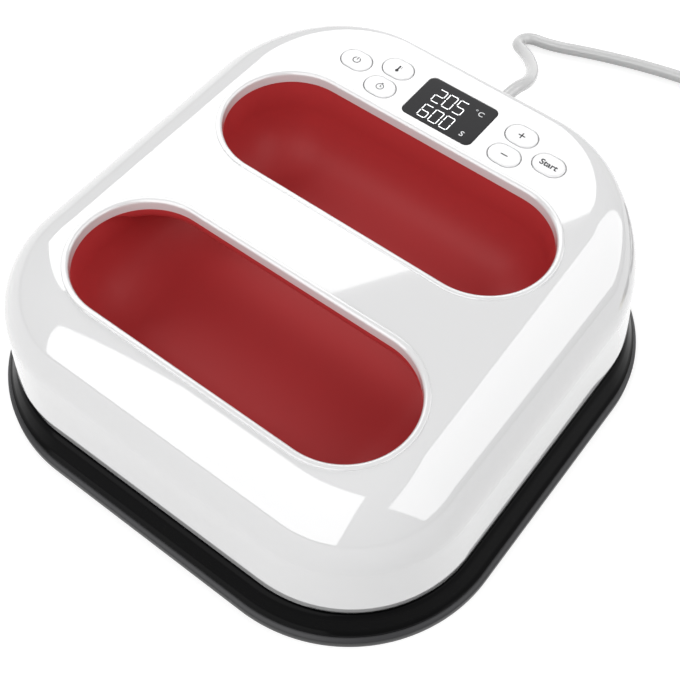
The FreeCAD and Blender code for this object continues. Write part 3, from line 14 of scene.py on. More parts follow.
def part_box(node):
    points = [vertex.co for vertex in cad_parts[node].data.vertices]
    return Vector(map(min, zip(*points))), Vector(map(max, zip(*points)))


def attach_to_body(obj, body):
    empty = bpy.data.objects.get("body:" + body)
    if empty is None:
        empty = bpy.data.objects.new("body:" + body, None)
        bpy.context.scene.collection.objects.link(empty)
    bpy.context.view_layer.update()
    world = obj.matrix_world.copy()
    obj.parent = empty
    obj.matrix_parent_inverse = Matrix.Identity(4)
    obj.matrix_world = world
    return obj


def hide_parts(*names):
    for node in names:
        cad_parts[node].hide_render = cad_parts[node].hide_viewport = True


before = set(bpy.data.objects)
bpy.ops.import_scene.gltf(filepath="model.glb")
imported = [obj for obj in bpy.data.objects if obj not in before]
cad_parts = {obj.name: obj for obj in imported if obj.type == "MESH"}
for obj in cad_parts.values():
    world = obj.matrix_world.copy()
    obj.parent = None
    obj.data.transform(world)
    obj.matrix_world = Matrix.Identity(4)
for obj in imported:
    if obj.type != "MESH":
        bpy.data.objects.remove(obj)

LOG = logging.getLogger("heat_press")
MM = 0.001
UP = Vector((0.0, 0.0, 1.0))
BACK = Vector((0.0, 1.0, 0.0))
WHITE = (1.0, 1.0, 1.0)
LEAST_RADIUS = 0.05
SHARP_EDGE = 32.0
Colour = tuple[float, float, float]
Line = Sequence[tuple[float, float]]
Settings = Mapping[str, Any]


# Shader maths


class Field:
    """A value that changes over a surface, used in ordinary sums."""

    def __init__(self, tree: "Tree", socket: bpy.types.NodeSocket) -> None:
        """Wraps one output socket of a tree."""
        self.tree = tree
        self.socket = socket

    def _maths(self, operation: str, *values: Any) -> "Field":
        """Adds one Math node that works on values, each a number or a Field."""
        return self.tree.add("ShaderNodeMath", {"operation": operation}, dict(enumerate(values)))[0]

    def __add__(self, other: Any) -> "Field":
        """This plus other."""
        return self._maths("ADD", self, other)

    __radd__ = __add__

    def __sub__(self, other: Any) -> "Field":
        """This less other."""
        return self._maths("SUBTRACT", self, other)

    def __rsub__(self, other: Any) -> "Field":
        """Other less this."""
        return self._maths("SUBTRACT", other, self)

    def __mul__(self, other: Any) -> "Field":
        """This times other."""
        return self._maths("MULTIPLY", self, other)

    __rmul__ = __mul__

    def sine(self) -> "Field":
        """The sine of this."""
        return self._maths("SINE", self)

    def ramp(self, low: float, high: float, start: float = 0.0, end: float = 1.0) -> "Field":
        """Maps low to start and high to end, and holds the value beyond them."""
        inputs = {0: self, 1: low, 2: high, 3: start, 4: end}
        return self.tree.add("ShaderNodeMapRange", {"clamp": True}, inputs)[0]


class Tree:
    """The nodes of one material or world."""

    def __init__(self, owner: bpy.types.ID, output: str) -> None:
        """Empties the owner's tree and gives it an output.

        Args:
            owner: The material or the world.
            output: The output node's type.
        """
        owner.use_nodes = True
        self.owner = owner
        self.nodes = owner.node_tree.nodes
        self.links = owner.node_tree.links
        self.nodes.clear()
        self.output = self.nodes.new(output)

    @classmethod
    def of_material(cls, name: str) -> "Tree":
        """Starts the tree of a new material of that name."""
        return cls(bpy.data.materials.new(name), "ShaderNodeOutputMaterial")

    def add(self, kind: str, settings: Settings, inputs: Mapping[Any, Any]) -> list[Field]:
        """Adds a node, sets it, then fills its sockets.

        Args:
            kind: The node's type.
            settings: The node's own properties.
            inputs: Socket name or number to a number, a tuple or a Field.

        Returns:
            The node's outputs.
        """
        node = self.nodes.new(kind)
        for name, value in settings.items():
            setattr(node, name, value)
        for name, value in inputs.items():
            socket = node.inputs[name]
            if isinstance(value, Field):
                self.links.new(value.socket, socket)
            else:
                socket.default_value = (*value, 1.0) if socket.type == "RGBA" else value
        return [Field(self, socket) for socket in node.outputs]

    def place(self) -> Field:
        """The point on the object, in metres."""
        return self.add("ShaderNodeTexCoord", {}, {})[3]

    def axis(self, index: int) -> Field:
        """One coordinate of the point on the object."""
        return self.add("ShaderNodeSeparateXYZ", {}, {0: self.place()})[index]

    def noise(self, scale: float, detail: float = 2.0, roughness: float = 0.5) -> Field:
        """Noise from 0 to 1 whose cells are about 1/scale metres wide."""
        inputs = {"Vector": self.place(), "Scale": scale, "Detail": detail, "Roughness": roughness}
        return self.add("ShaderNodeTexNoise", {}, inputs)[0]

    def blend(self, share: Field, first: Any, second: Any) -> Field:
        """Mixes two colours by share."""
        return self.add("ShaderNodeMix", {"data_type": "RGBA"}, {0: share, 6: first, 7: second})[2]

    def relief(self, height: Field, depth: float) -> Field:
        """The normal bent by a height from 0 to 1, where 1 is depth in millimetres."""
        return self.add("ShaderNodeBump", {}, {"Distance": depth * MM, "Height": height})[0]

    def seen(self) -> Field:
        """1 for rays of the camera and those seen in gloss or glass, else 0.

        Returns:
            The share.
        """
        rays = {ray.socket.name: ray for ray in self.add("ShaderNodeLightPath", {}, {})}
        total = rays["Is Camera Ray"] + rays["Is Glossy Ray"] + rays["Is Transmission Ray"]
        return total.ramp(0.0, 1.0)

    def close(self, shader: Field) -> None:
        """Feeds a shader to the output."""
        self.links.new(shader.socket, self.output.inputs["Surface"])

    def surface(self, fixed: Settings, varying: Mapping[str, Field]) -> bpy.types.Material:
        """Ends the tree in a Principled shader, by fixed inputs and those that vary over it."""
        self.close(self.add("ShaderNodeBsdfPrincipled", {}, {**fixed, **varying})[0])
        return self.owner


# Finishes


@dataclass(frozen=True)
class Moulding:
    """A moulded plastic or rubber with a fine skin of its own.

    cell and depth are the skin's, in millimetres, and spread is how far the roughness wanders.
    """

    name: str
    colour: Colour
    roughness: float
    spread: float = 0.06
    tint: float = 0.06
    cell: float = 0.6
    depth: float = 0.01
    specular: float = 0.5
    coat: float = 0.0
    coat_roughness: float = 0.03
    coat_ior: float = 1.5
    drift_scale: float = 18.0
    cloud_scale: float = 60.0

    def build(self) -> bpy.types.Material:
        """Makes the material.

        Returns:
            A plastic whose colour drifts slightly, over a fine moulded grain.
        """
        tree = Tree.of_material(self.name)
        darker = tuple(c * (1.0 - self.tint) for c in self.colour)
        cloud = tree.noise(self.cloud_scale)
        varying = {
            "Base Color": tree.blend(tree.noise(self.drift_scale), darker, self.colour),
            "Roughness": (cloud - 0.5) * self.spread + self.roughness,
            "Normal": tree.relief(tree.noise(1.0 / (self.cell * MM), 3.0), self.depth),
        }
        fixed = {
            "Specular IOR Level": self.specular,
            "Coat Weight": self.coat,
            "Coat Roughness": self.coat_roughness,
            "Coat IOR": self.coat_ior,
        }
        return tree.surface(fixed, varying)


@dataclass(frozen=True)
class CoatedPlate:
    """Dark non-stick coating on a cast plate, with a painted highlight along its chamfer.

    The painted highlight band lies between two heights, in millimetres.
    """

    name: str = "plate_coated"
    colour: Colour = (0.020, 0.020, 0.021)
    fleck: Colour = (0.09, 0.09, 0.10)
    # Painted highlight: the paler colour given to the lip's chamfer, standing in for the light it
    # catches.
    rubbed: Colour = (0.045, 0.045, 0.048)
    edge_low: float = 4.6
    edge_high: float = 5.3
    fleck_scale: float = 2600.0
    cloud_scale: float = 40.0
    grain_scale: float = 1800.0
    grain_depth: float = 0.012
    roughness: float = 0.30
    spread: float = 0.12
    specular: float = 0.25

    def build(self) -> bpy.types.Material:
        """Makes the material.

        Returns:
            A dark flecked coating with a painted highlight: a paler band at the lip's top edge, where
            light falls.
        """
        tree = Tree.of_material(self.name)
        flecks = tree.noise(self.fleck_scale, 1.0).ramp(0.66, 0.72)
        cloud = tree.noise(self.cloud_scale, 3.0)
        # Painted highlight: above this band the chamfer is blended towards the paler colour, varied a
        # little by the cloud.
        edge = tree.axis(2).ramp(self.edge_low * MM, self.edge_high * MM)
        ground = tree.blend(flecks * 0.5, self.colour, self.fleck)
        varying = {
            "Base Color": tree.blend(edge * cloud.ramp(0.2, 0.6, 0.7, 1.0), ground, self.rubbed),
            "Roughness": cloud * self.spread + self.roughness,
            "Normal": tree.relief(tree.noise(self.grain_scale, 3.0), self.grain_depth),
        }
        return tree.surface({"Metallic": 0.0, "Specular IOR Level": self.specular}, varying)


@dataclass(frozen=True)
class Metal:
    """A plain metal part with light handling marks, or brushed along one axis."""

    name: str
    colour: Colour
    roughness: float
    brushed_along: Optional[int] = None
    shade: float = 0.86
    spread: float = 0.14
    mark_depth: float = 0.003
    mark_scale: float = 900.0
    brush_scale: float = 9000.0
    brush_sway: float = 6.0

    def build(self) -> bpy.types.Material:
        """Makes the material.

        Returns:
            A metal with clouded roughness, brushed along one axis if it has one.
        """
        tree = Tree.of_material(self.name)
        cloud = tree.noise(90.0, 4.0)
        if self.brushed_along is None:
            marks = tree.noise(self.mark_scale, 3.0)
        else:
            along = tree.axis(self.brushed_along) * self.brush_scale
            marks = (along + cloud * self.brush_sway).sine() * 0.5 + 0.5
        varying = {
            "Base Color": tree.blend(cloud, tuple(c * self.shade for c in self.colour), self.colour),
            "Roughness": (cloud - 0.5) * self.spread + self.roughness,
            "Normal": tree.relief(marks, self.mark_depth),
        }
        return tree.surface({"Metallic": 1.0}, varying)


@dataclass(frozen=True)
class CircuitBoard:
    """Lacquered glass-fibre board with copper runs under the lacquer."""

    name: str = "board_green"
    colour: Colour = (0.012, 0.10, 0.045)
    run: Colour = (0.03, 0.20, 0.085)
    run_scale_x: float = 1900.0
    run_scale_y: float = 1500.0
    run_sway: float = 9.0
    run_depth: float = 0.02
    roughness: float = 0.28
    spread: float = 0.1

    def build(self) -> bpy.types.Material:
        """Makes the material.

        Returns:
            A green board with a lattice of paler runs.
        """
        tree = Tree.of_material(self.name)
        x = (tree.axis(0) * self.run_scale_x + tree.noise(45.0, 1.0) * self.run_sway).sine()
        y = (tree.axis(1) * self.run_scale_y + tree.noise(60.0, 1.0) * self.run_sway).sine()
        runs = x.ramp(0.55, 0.75) + y.ramp(0.72, 0.9)
        varying = {
            "Base Color": tree.blend(runs.ramp(0.0, 1.0), self.colour, self.run),
            "Roughness": tree.noise(120.0) * self.spread + self.roughness,
            "Normal": tree.relief(runs, self.run_depth),
        }
        return tree.surface({"Coat Weight": 0.4, "Coat Roughness": 0.1}, varying)


@dataclass(frozen=True)
class FibreMat:
    """Pressed ceramic fibre."""

    name: str = "blanket_fibre"
    colour: Colour = (0.78, 0.74, 0.64)
    shade: float = 0.75
    strand_scale: float = 700.0
    strand_depth: float = 0.3

    def build(self) -> bpy.types.Material:
        """Makes the material.

        Returns:
            A matt, matted surface.
        """
        tree = Tree.of_material(self.name)
        strands = tree.noise(self.strand_scale, 6.0, 0.75)
        varying = {
            "Base Color": tree.blend(strands, tuple(c * self.shade for c in self.colour), self.colour),
            "Roughness": strands * 0.1 + 0.85,
            "Normal": tree.relief(strands, self.strand_depth),
        }
        return tree.surface({"Specular IOR Level": 0.2}, varying)


@dataclass(frozen=True)
class Lit:
    """A bright segment of the display."""

    name: str
    colour: Colour
    strength: float
    shade: float = 0.9

    def build(self) -> bpy.types.Material:
        """Makes the material.

        Returns:
            A surface that gives a little light of its own.
        """
        tree = Tree.of_material(self.name)
        glow = tree.noise(400.0, 1.0).ramp(0.0, 1.0, 0.97, 1.0)
        colour = tree.blend(glow, tuple(c * self.shade for c in self.colour), self.colour)
        fixed = {"Roughness": 0.4, "Emission Strength": self.strength}
        return tree.surface(fixed, {"Base Color": colour, "Emission Color": colour})


class Finish(Enum):
    """Every finish on the press."""

    SHELL = Moulding(
        "shell_white", (0.78, 0.78, 0.785), roughness=0.07, spread=0.02, tint=0.01, cell=2.2,
        depth=0.0003, specular=0.8, coat=1.0, coat_roughness=0.02, coat_ior=1.7,
    )
    KEY = Moulding(
        "key_white", (0.88, 0.88, 0.885), roughness=0.16, spread=0.03, tint=0.01, cell=1.2,
        depth=0.001, specular=0.6, coat=0.8, coat_roughness=0.05, coat_ior=1.6,
    )
    LEGEND = Moulding(
        "legend_grey", (0.035, 0.035, 0.04), roughness=0.45, spread=0.05, tint=0.05, cell=0.5,
        depth=0.001,
    )
    TUB = Moulding(
        "tub_red", (0.52, 0.046, 0.049), roughness=0.44, spread=0.05, tint=0.05, cell=0.55,
        depth=0.008, specular=0.22,
    )
    SKIRT = Moulding(
        "skirt_black", (0.0022, 0.0022, 0.0025), roughness=0.14, spread=0.03, tint=0.2, cell=1.8,
        depth=0.001, specular=0.05,
    )
    PLATE = CoatedPlate()
    LENS = Moulding(
        "lens_smoke", (0.036, 0.036, 0.038), roughness=0.10, spread=0.02, tint=0.02, cell=2.0,
        depth=0.0004, specular=0.06,
    )
    SEGMENT = Lit("segment_white", (0.92, 0.93, 0.94), 0.75)
    SEGMENT_SMALL = Lit("segment_grey", (0.62, 0.63, 0.64), 0.35)
    CORD = Moulding(
        "cord_grey", (0.70, 0.70, 0.70), roughness=0.17, spread=0.05, tint=0.04, cell=1.6,
        depth=0.004, coat=0.5,
    )
    SLEEVE = Moulding("sleeve_grey", (0.46, 0.46, 0.465), roughness=0.36, tint=0.05, cell=0.8)
    PLUG = Moulding("plug_grey", (0.47, 0.47, 0.475), roughness=0.40, tint=0.04, depth=0.012)
    TIE = Moulding(
        "tie_black", (0.018, 0.018, 0.02), roughness=0.60, spread=0.10, tint=0.2, cell=0.9,
        depth=0.04,
    )
    SCREW = Metal("steel_screws", (0.60, 0.60, 0.61), 0.30)
    SHEET = Metal("sheet_steel", (0.66, 0.66, 0.67), 0.26, 0)
    SHEATH = Metal("element_sheath", (0.36, 0.32, 0.28), 0.42)
    IRON = Metal("core_iron", (0.28, 0.26, 0.24), 0.45, 1)
    BLADE = Metal("blade_brass", (0.72, 0.66, 0.50), 0.24, 2)
    CERAMIC = Moulding("ceramic_white", (0.80, 0.78, 0.72), roughness=0.30, spread=0.08, cell=0.8)
    BOARD = CircuitBoard()
    FIBRE = FibreMat()
    BLACK = Moulding("switch_black", (0.03, 0.03, 0.03), roughness=0.42, tint=0.1)
    MODULE = Moulding(
        "display_module", (0.05, 0.05, 0.055), roughness=0.30, tint=0.1, cell=0.7, depth=0.006,
    )
    RELAY = Moulding("relay_blue", (0.03, 0.10, 0.34), roughness=0.30, cell=0.7, depth=0.006)
    TERMINAL = Moulding("terminal_green", (0.05, 0.28, 0.11), roughness=0.40)
    CLAMP = Moulding("clamp_black", (0.04, 0.04, 0.04), roughness=0.45, tint=0.1)

    def material(self) -> bpy.types.Material:
        """The finish's material, made the first time it is asked for.

        Returns:
            The material.
        """
        title = "finish_" + self.value.name
        found = bpy.data.materials.get(title)
        if found is None:
            found = self.value.build()
            found.name = title
        return found


# Mesh tools


@dataclass(frozen=True)
class Outline:
    """A rectangle with rounded corners, seen from above. All sizes are in millimetres."""

    half_x: float
    half_y: float
    front_r: float
    rear_r: float
    x: float = 0.0
    y: float = 0.0

    @classmethod
    def even(
        cls, half_x: float, half_y: float, radius: float, x: float = 0.0, y: float = 0.0
    ) -> "Outline":
        """An outline whose four corners share one radius."""
        return cls(half_x, half_y, radius, radius, x, y)

    def grown(self, by: float) -> "Outline":
        """The outline drawn out, or in where by is negative.

        Args:
            by: How far.

        Returns:
            The new outline, about the same middle.
        """
        front = max(self.front_r + by, LEAST_RADIUS)
        rear = max(self.rear_r + by, LEAST_RADIUS)
        return Outline(self.half_x + by, self.half_y + by, front, rear, self.x, self.y)

    def point(self, seat: int, steps: int, z: float) -> Vector:
        """The point of a numbered seat round the outline.

        Args:
            seat: The seat, counted from the right end of the rear right corner.
            steps: Divisions of each corner.
            z: Height.

        Returns:
            The point, in metres.
        """
        corner, step = divmod(seat, steps + 1)
        radius = self.rear_r if corner < 2 else self.front_r
        side_x = 1 if corner in (0, 3) else -1
        side_y = 1 if corner < 2 else -1
        angle = math.radians(90.0 * (corner + step / steps))
        x = self.x + side_x * (self.half_x - radius) + radius * math.cos(angle)
        y = self.y + side_y * (self.half_y - radius) + radius * math.sin(angle)
        return Vector((x, y, z)) * MM


@dataclass(frozen=True)
class Level:
    """One outline at one height, in millimetres."""

    outline: Outline
    z: float


class Ends(Enum):
    """How a stack of levels is closed."""

    CAPPED = "capped"
    LOOPED = "looped"


def faces_out(bm: bmesh.types.BMesh) -> None:
    """Merges doubles and points every face outwards."""
    bmesh.ops.remove_doubles(bm, verts=bm.verts[:], dist=1e-7)
    bmesh.ops.recalc_face_normals(bm, faces=bm.faces[:])


def stack(
    bm: bmesh.types.BMesh, levels: Sequence[Level], steps: int, ends: Ends = Ends.CAPPED
) -> None:
    """Extrudes a ring of edges from level to level.

    Args:
        bm: Where the body is made.
        levels: The outlines from first to last.
        steps: Divisions of each corner.
        ends: Capped at both ends, or last joined to first.
    """
    seat = bm.verts.layers.int.get("seat") or bm.verts.layers.int.new("seat")
    ring = bmesh.ops.create_circle(bm, cap_ends=False, segments=4 * (steps + 1), radius=1.0)["verts"]
    for index, vert in enumerate(ring):
        vert[seat] = index
    edges = list({edge for vert in ring for edge in vert.link_edges})
    first = edges
    for number, level in enumerate(levels):
        if number:
            made = bmesh.ops.extrude_edge_only(bm, edges=edges)["geom"]
            ring = [item for item in made if isinstance(item, bmesh.types.BMVert)]
            fresh = set(ring)
            drawn = [item for item in made if isinstance(item, bmesh.types.BMEdge)]
            edges = [edge for edge in drawn if fresh.issuperset(edge.verts)]
        for vert in ring:
            vert.co = level.outline.point(vert[seat], steps, level.z)
    if ends is Ends.LOOPED:
        bmesh.ops.bridge_loops(bm, edges=first + edges)
    else:
        bmesh.ops.holes_fill(bm, edges=first, sides=0)
        bmesh.ops.holes_fill(bm, edges=edges, sides=0)


def rounded(
    outline: Outline, grow: float, z: float, radius: float, start: float, end: float, steps: int
) -> list[Level]:
    """Levels that go round a quarter bend or part of one.

    Args:
        outline: The outline that grow counts from.
        grow: Growth at the bend's centre.
        z: Height of the bend's centre.
        radius: The bend's radius.
        start: Angle where it starts, in degrees: 0 is outwards and 90 is up.
        end: Angle where it ends.
        steps: Divisions.

    Returns:
        The levels from start to end.
    """
    levels = []
    for step in range(steps + 1):
        angle = math.radians(start + (end - start) * step / steps)
        bent = outline.grown(grow + radius * math.cos(angle))
        levels.append(Level(bent, z + radius * math.sin(angle)))
    return levels


class Piece:
    """A mesh that becomes one named piece of the press."""

    def __init__(self, name: str) -> None:
        """Starts an empty mesh."""
        self.name = name
        self.bm = bmesh.new()

    def stacked(
        self, levels: Sequence[Level], steps: int, ends: Ends = Ends.CAPPED
    ) -> "Piece":
        """Adds a body made of levels."""
        stack(self.bm, levels, steps, ends)
        return self

    def turned(self, profile: Line, axis: Vector, place: Vector, steps: int) -> "Piece":
        """Adds a turned body.

        Args:
            profile: Pairs of radius and distance along the axis, in millimetres.
            axis: The axis, as a unit vector.
            place: Where distance 0 is, in millimetres.
            steps: Divisions of the turn.

        Returns:
            This piece.
        """
        lathe = bmesh.new()
        verts = [lathe.verts.new((radius * MM, 0.0, along * MM)) for radius, along in profile]
        edges = [lathe.edges.new(pair) for pair in zip(verts, verts[1:])]
        bmesh.ops.spin(
            lathe,
            geom=verts + edges,
            cent=(0, 0, 0),
            axis=(0, 0, 1),
            angle=math.tau,
            steps=steps,
            use_merge=True,
        )
        faces_out(lathe)
        turn = UP.rotation_difference(axis).to_matrix().to_4x4()
        self.absorb(lathe, Matrix.Translation(place * MM) @ turn)
        return self

    def absorb(self, other: bmesh.types.BMesh, matrix: Matrix) -> "Piece":
        """Moves another mesh into this one and frees it.

        Args:
            other: The mesh that is taken in.
            matrix: Carries it to its place, in metres.

        Returns:
            This piece.
        """
        bmesh.ops.transform(other, matrix=matrix, verts=other.verts[:])
        carrier = bpy.data.meshes.new("carrier")
        other.to_mesh(carrier)
        other.free()
        self.bm.from_mesh(carrier)
        bpy.data.meshes.remove(carrier)
        return self

    def block(self, low: Vector, high: Vector, edge: float) -> "Piece":
        """Adds a block with rounded edges, in millimetres.

        Args:
            low: Its lowest corner.
            high: Its highest corner.
            edge: How far its edges are rounded.

        Returns:
            This piece.
        """
        made = bmesh.new()
        bmesh.ops.create_cube(made, size=1.0)
        bmesh.ops.scale(made, vec=(high - low) * MM, verts=made.verts[:])
        bmesh.ops.bevel(
            made,
            geom=made.edges[:],
            offset=edge * MM,
            offset_type="OFFSET",
            affect="EDGES",
            segments=2,
            profile=0.5,
            material=-1,
        )
        return self.absorb(made, Matrix.Translation((low + high) / 2 * MM))

    def finish(
        self,
        finish: Finish,
        body: Optional[str],
        replaces: Iterable[str] = (),
        slot: Optional[str] = None,
        sharp: float = SHARP_EDGE,
    ) -> bpy.types.Object:
        """Turns the mesh into an object on its body.

        Args:
            finish: What it is made of.
            body: The CAD body that it rides on, or None for a tool that is used up.
            replaces: The CAD nodes that it stands for.
            slot: The record's material slot. Not used.
            sharp: Edges sharper than this angle stay sharp.

        Returns:
            The object.
        """
        faces_out(self.bm)
        mesh = bpy.data.meshes.new(self.name)
        self.bm.to_mesh(mesh)
        self.bm.free()
        mesh.shade_smooth()
        mesh.set_sharp_from_angle(angle=math.radians(sharp))
        made = bpy.data.objects.new(self.name, mesh)
        bpy.context.scene.collection.objects.link(made)
        mesh.materials.append(finish.material())
        if body:
            attach(made, body, replaces)
        return made


def attach(
    made: bpy.types.Object, body: str, replaces: Iterable[str] = ()
) -> None:
    """Puts an object on its body and hides the CAD nodes that it stands for.

    Args:
        made: The object.
        body: The CAD body that it rides on.
        replaces: The CAD nodes that it stands for.
    """
    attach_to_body(made, body)
    if replaces:
        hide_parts(*replaces)
    LOG.info("%s: %d faces", made.name, len(made.data.polygons) if made.type == "MESH" else 0)


def carve(
    target: bpy.types.Object, tools: Sequence[bpy.types.Object], operation: str = "DIFFERENCE"
) -> None:
    """Cuts tools out of a target, or keeps what they share.

    Args:
        target: The object that changes.
        tools: What it is cut with. They are removed.
        operation: The Boolean modifier's operation.
    """
    for tool in tools:
        modifier = target.modifiers.new("carve", "BOOLEAN")
        modifier.operation = operation
        modifier.solver = "EXACT"
        modifier.object = tool
    bpy.context.view_layer.update()
    evaluated = target.evaluated_get(bpy.context.evaluated_depsgraph_get())
    baked = bpy.data.meshes.new_from_object(evaluated)
    target.modifiers.clear()
    spent = target.data
    target.data = baked
    bpy.data.meshes.remove(spent)
    baked.name = target.name
    for tool in tools:
        bpy.data.objects.remove(tool)
    shape = bmesh.new()
    shape.from_mesh(baked)
    bmesh.ops.remove_doubles(shape, verts=shape.verts[:], dist=2e-6)
    bmesh.ops.dissolve_degenerate(shape, dist=1e-6, edges=shape.edges[:])
    shape.to_mesh(baked)
    shape.free()
    baked.shade_smooth()
    baked.set_sharp_from_angle(angle=math.radians(SHARP_EDGE))


def twin(made: bpy.types.Object) -> bpy.types.Object:
    """Copies an object and its mesh.

    Args:
        made: The object.

    Returns:
        The copy, in the scene.
    """
    copy = made.copy()
    copy.data = made.data.copy()
    bpy.context.scene.collection.objects.link(copy)
    return copy


def smooth_like(target: bpy.types.Object, model: bpy.types.Object) -> None:
    """Gives a carved object the shading of its uncut model wherever their faces agree.

    Args:
        target: The carved object.
        model: The uncut object. It is removed.
    """
    least_agreement = 0.96
    modifier = target.modifiers.new("shading", "DATA_TRANSFER")
    modifier.object = model
    modifier.use_loop_data = True
    modifier.data_types_loops = {"CUSTOM_NORMAL"}
    modifier.loop_mapping = "POLYINTERP_NEAREST"
    bpy.context.view_layer.update()
    given = target.evaluated_get(bpy.context.evaluated_depsgraph_get()).data.corner_normals
    own = target.data.corner_normals
    normals = []
    for face in target.data.polygons:
        for corner in face.loop_indices:
            agrees = face.normal.dot(given[corner].vector) > least_agreement
            normals.append((given if agrees else own)[corner].vector.copy())
    target.modifiers.clear()
    target.data.normals_split_custom_set(normals)
    bpy.data.objects.remove(model)


# The press


@dataclass
class Plan:
    """Sizes that several sub-assemblies share, in millimetres."""

    half: float = 127.0
    plate_r: float = 73.6
    shell_bottom: float = 18.6
    shell_top: float = 84.2
    shell_inset: float = 8.0
    draft: float = 0.102
    shoulder_r: float = 34.0
    rear_edge_r: float = 4.6
    foot_corner: float = 62.0
    shoulder_corner: float = 56.5
    rear_corner: float = 66.0
    rear_corner_top: float = 44.0
    wall: float = 2.6
    slot_half_x: float = 82.95
    slot_half_y: float = 30.9
    slot_front_y: float = -56.7
    slot_rear_y: float = 40.9

    def plate(self, inset: float) -> Outline:
        """The plate's outline drawn in by inset."""
        return Outline.even(self.half - inset, self.half - inset, self.plate_r - inset)

    def side_inset(self, z: float) -> float:
        """How far the shell's front and sides stand in at height z."""
        return self.shell_inset + self.draft * (z - self.shell_bottom)

    def shell(
        self, side: float, rear: float, corner: float, rear_corner: float, offset: float
    ) -> Outline:
        """An outline of the shell from its insets and corner radii.

        Args:
            side: How far the front and the sides stand in.
            rear: How far the rear stands in.
            corner: Radius of the front corners.
            rear_corner: Radius of the rear corners.
            offset: How far the whole outline is drawn in.

        Returns:
            The outline.
        """
        half_x = self.half - side - offset
        back = self.half - rear - offset
        half_y = (back + half_x) / 2
        return Outline(half_x, half_y, corner - offset, rear_corner - offset, 0.0, back - half_y)

    def wall_level(self, z: float, offset: float) -> Level:
        """A level of the shell's drafted wall.

        Args:
            z: Its height.
            offset: How far it is drawn in.

        Returns:
            The level.
        """
        share = (z - self.shell_bottom) / (self.shell_top - self.shoulder_r - self.shell_bottom)
        corner = self.foot_corner + share * (self.shoulder_corner - self.foot_corner)
        rear_corner = self.foot_corner + share * (self.rear_corner - self.foot_corner)
        outline = self.shell(self.side_inset(z), self.shell_inset, corner, rear_corner, offset)
        return Level(outline, z)

    def shoulder_level(self, angle: float, offset: float) -> Level:
        """A level of the shell's shoulder.

        Args:
            angle: From 0 at the wall to 90 at the panel, in degrees.
            offset: How far it is drawn in.

        Returns:
            The level.
        """
        radius = self.shoulder_r - offset
        centre_z = self.shell_top - self.shoulder_r
        start = self.side_inset(centre_z)
        z = centre_z + radius * math.sin(math.radians(angle))
        side = start + self.shoulder_r - radius * math.cos(math.radians(angle)) - offset
        rise = max(z - (self.shell_top - offset - self.rear_edge_r), 0.0)
        bend = math.sqrt(max(self.rear_edge_r**2 - rise**2, 0.0))
        rear = self.shell_inset + self.rear_edge_r - bend
        drawn_in = side - start
        slope = (self.rear_corner - self.rear_corner_top) / self.shoulder_r
        rear_corner = self.rear_corner - drawn_in * slope
        return Level(self.shell(side, rear, self.shoulder_corner - drawn_in, rear_corner, offset), z)

    def slots(self) -> dict[str, Outline]:
        """The two hand slots.

        Returns:
            Their outlines by name.
        """
        sizes = (self.slot_half_x, self.slot_half_y, self.slot_half_y)
        return {
            "front": Outline.even(*sizes, y=self.slot_front_y),
            "rear": Outline.even(*sizes, y=self.slot_rear_y),
        }


@dataclass(frozen=True)
class KeySpec:
    """One key: its name and its place on the panel."""

    name: str
    x: float
    y: float


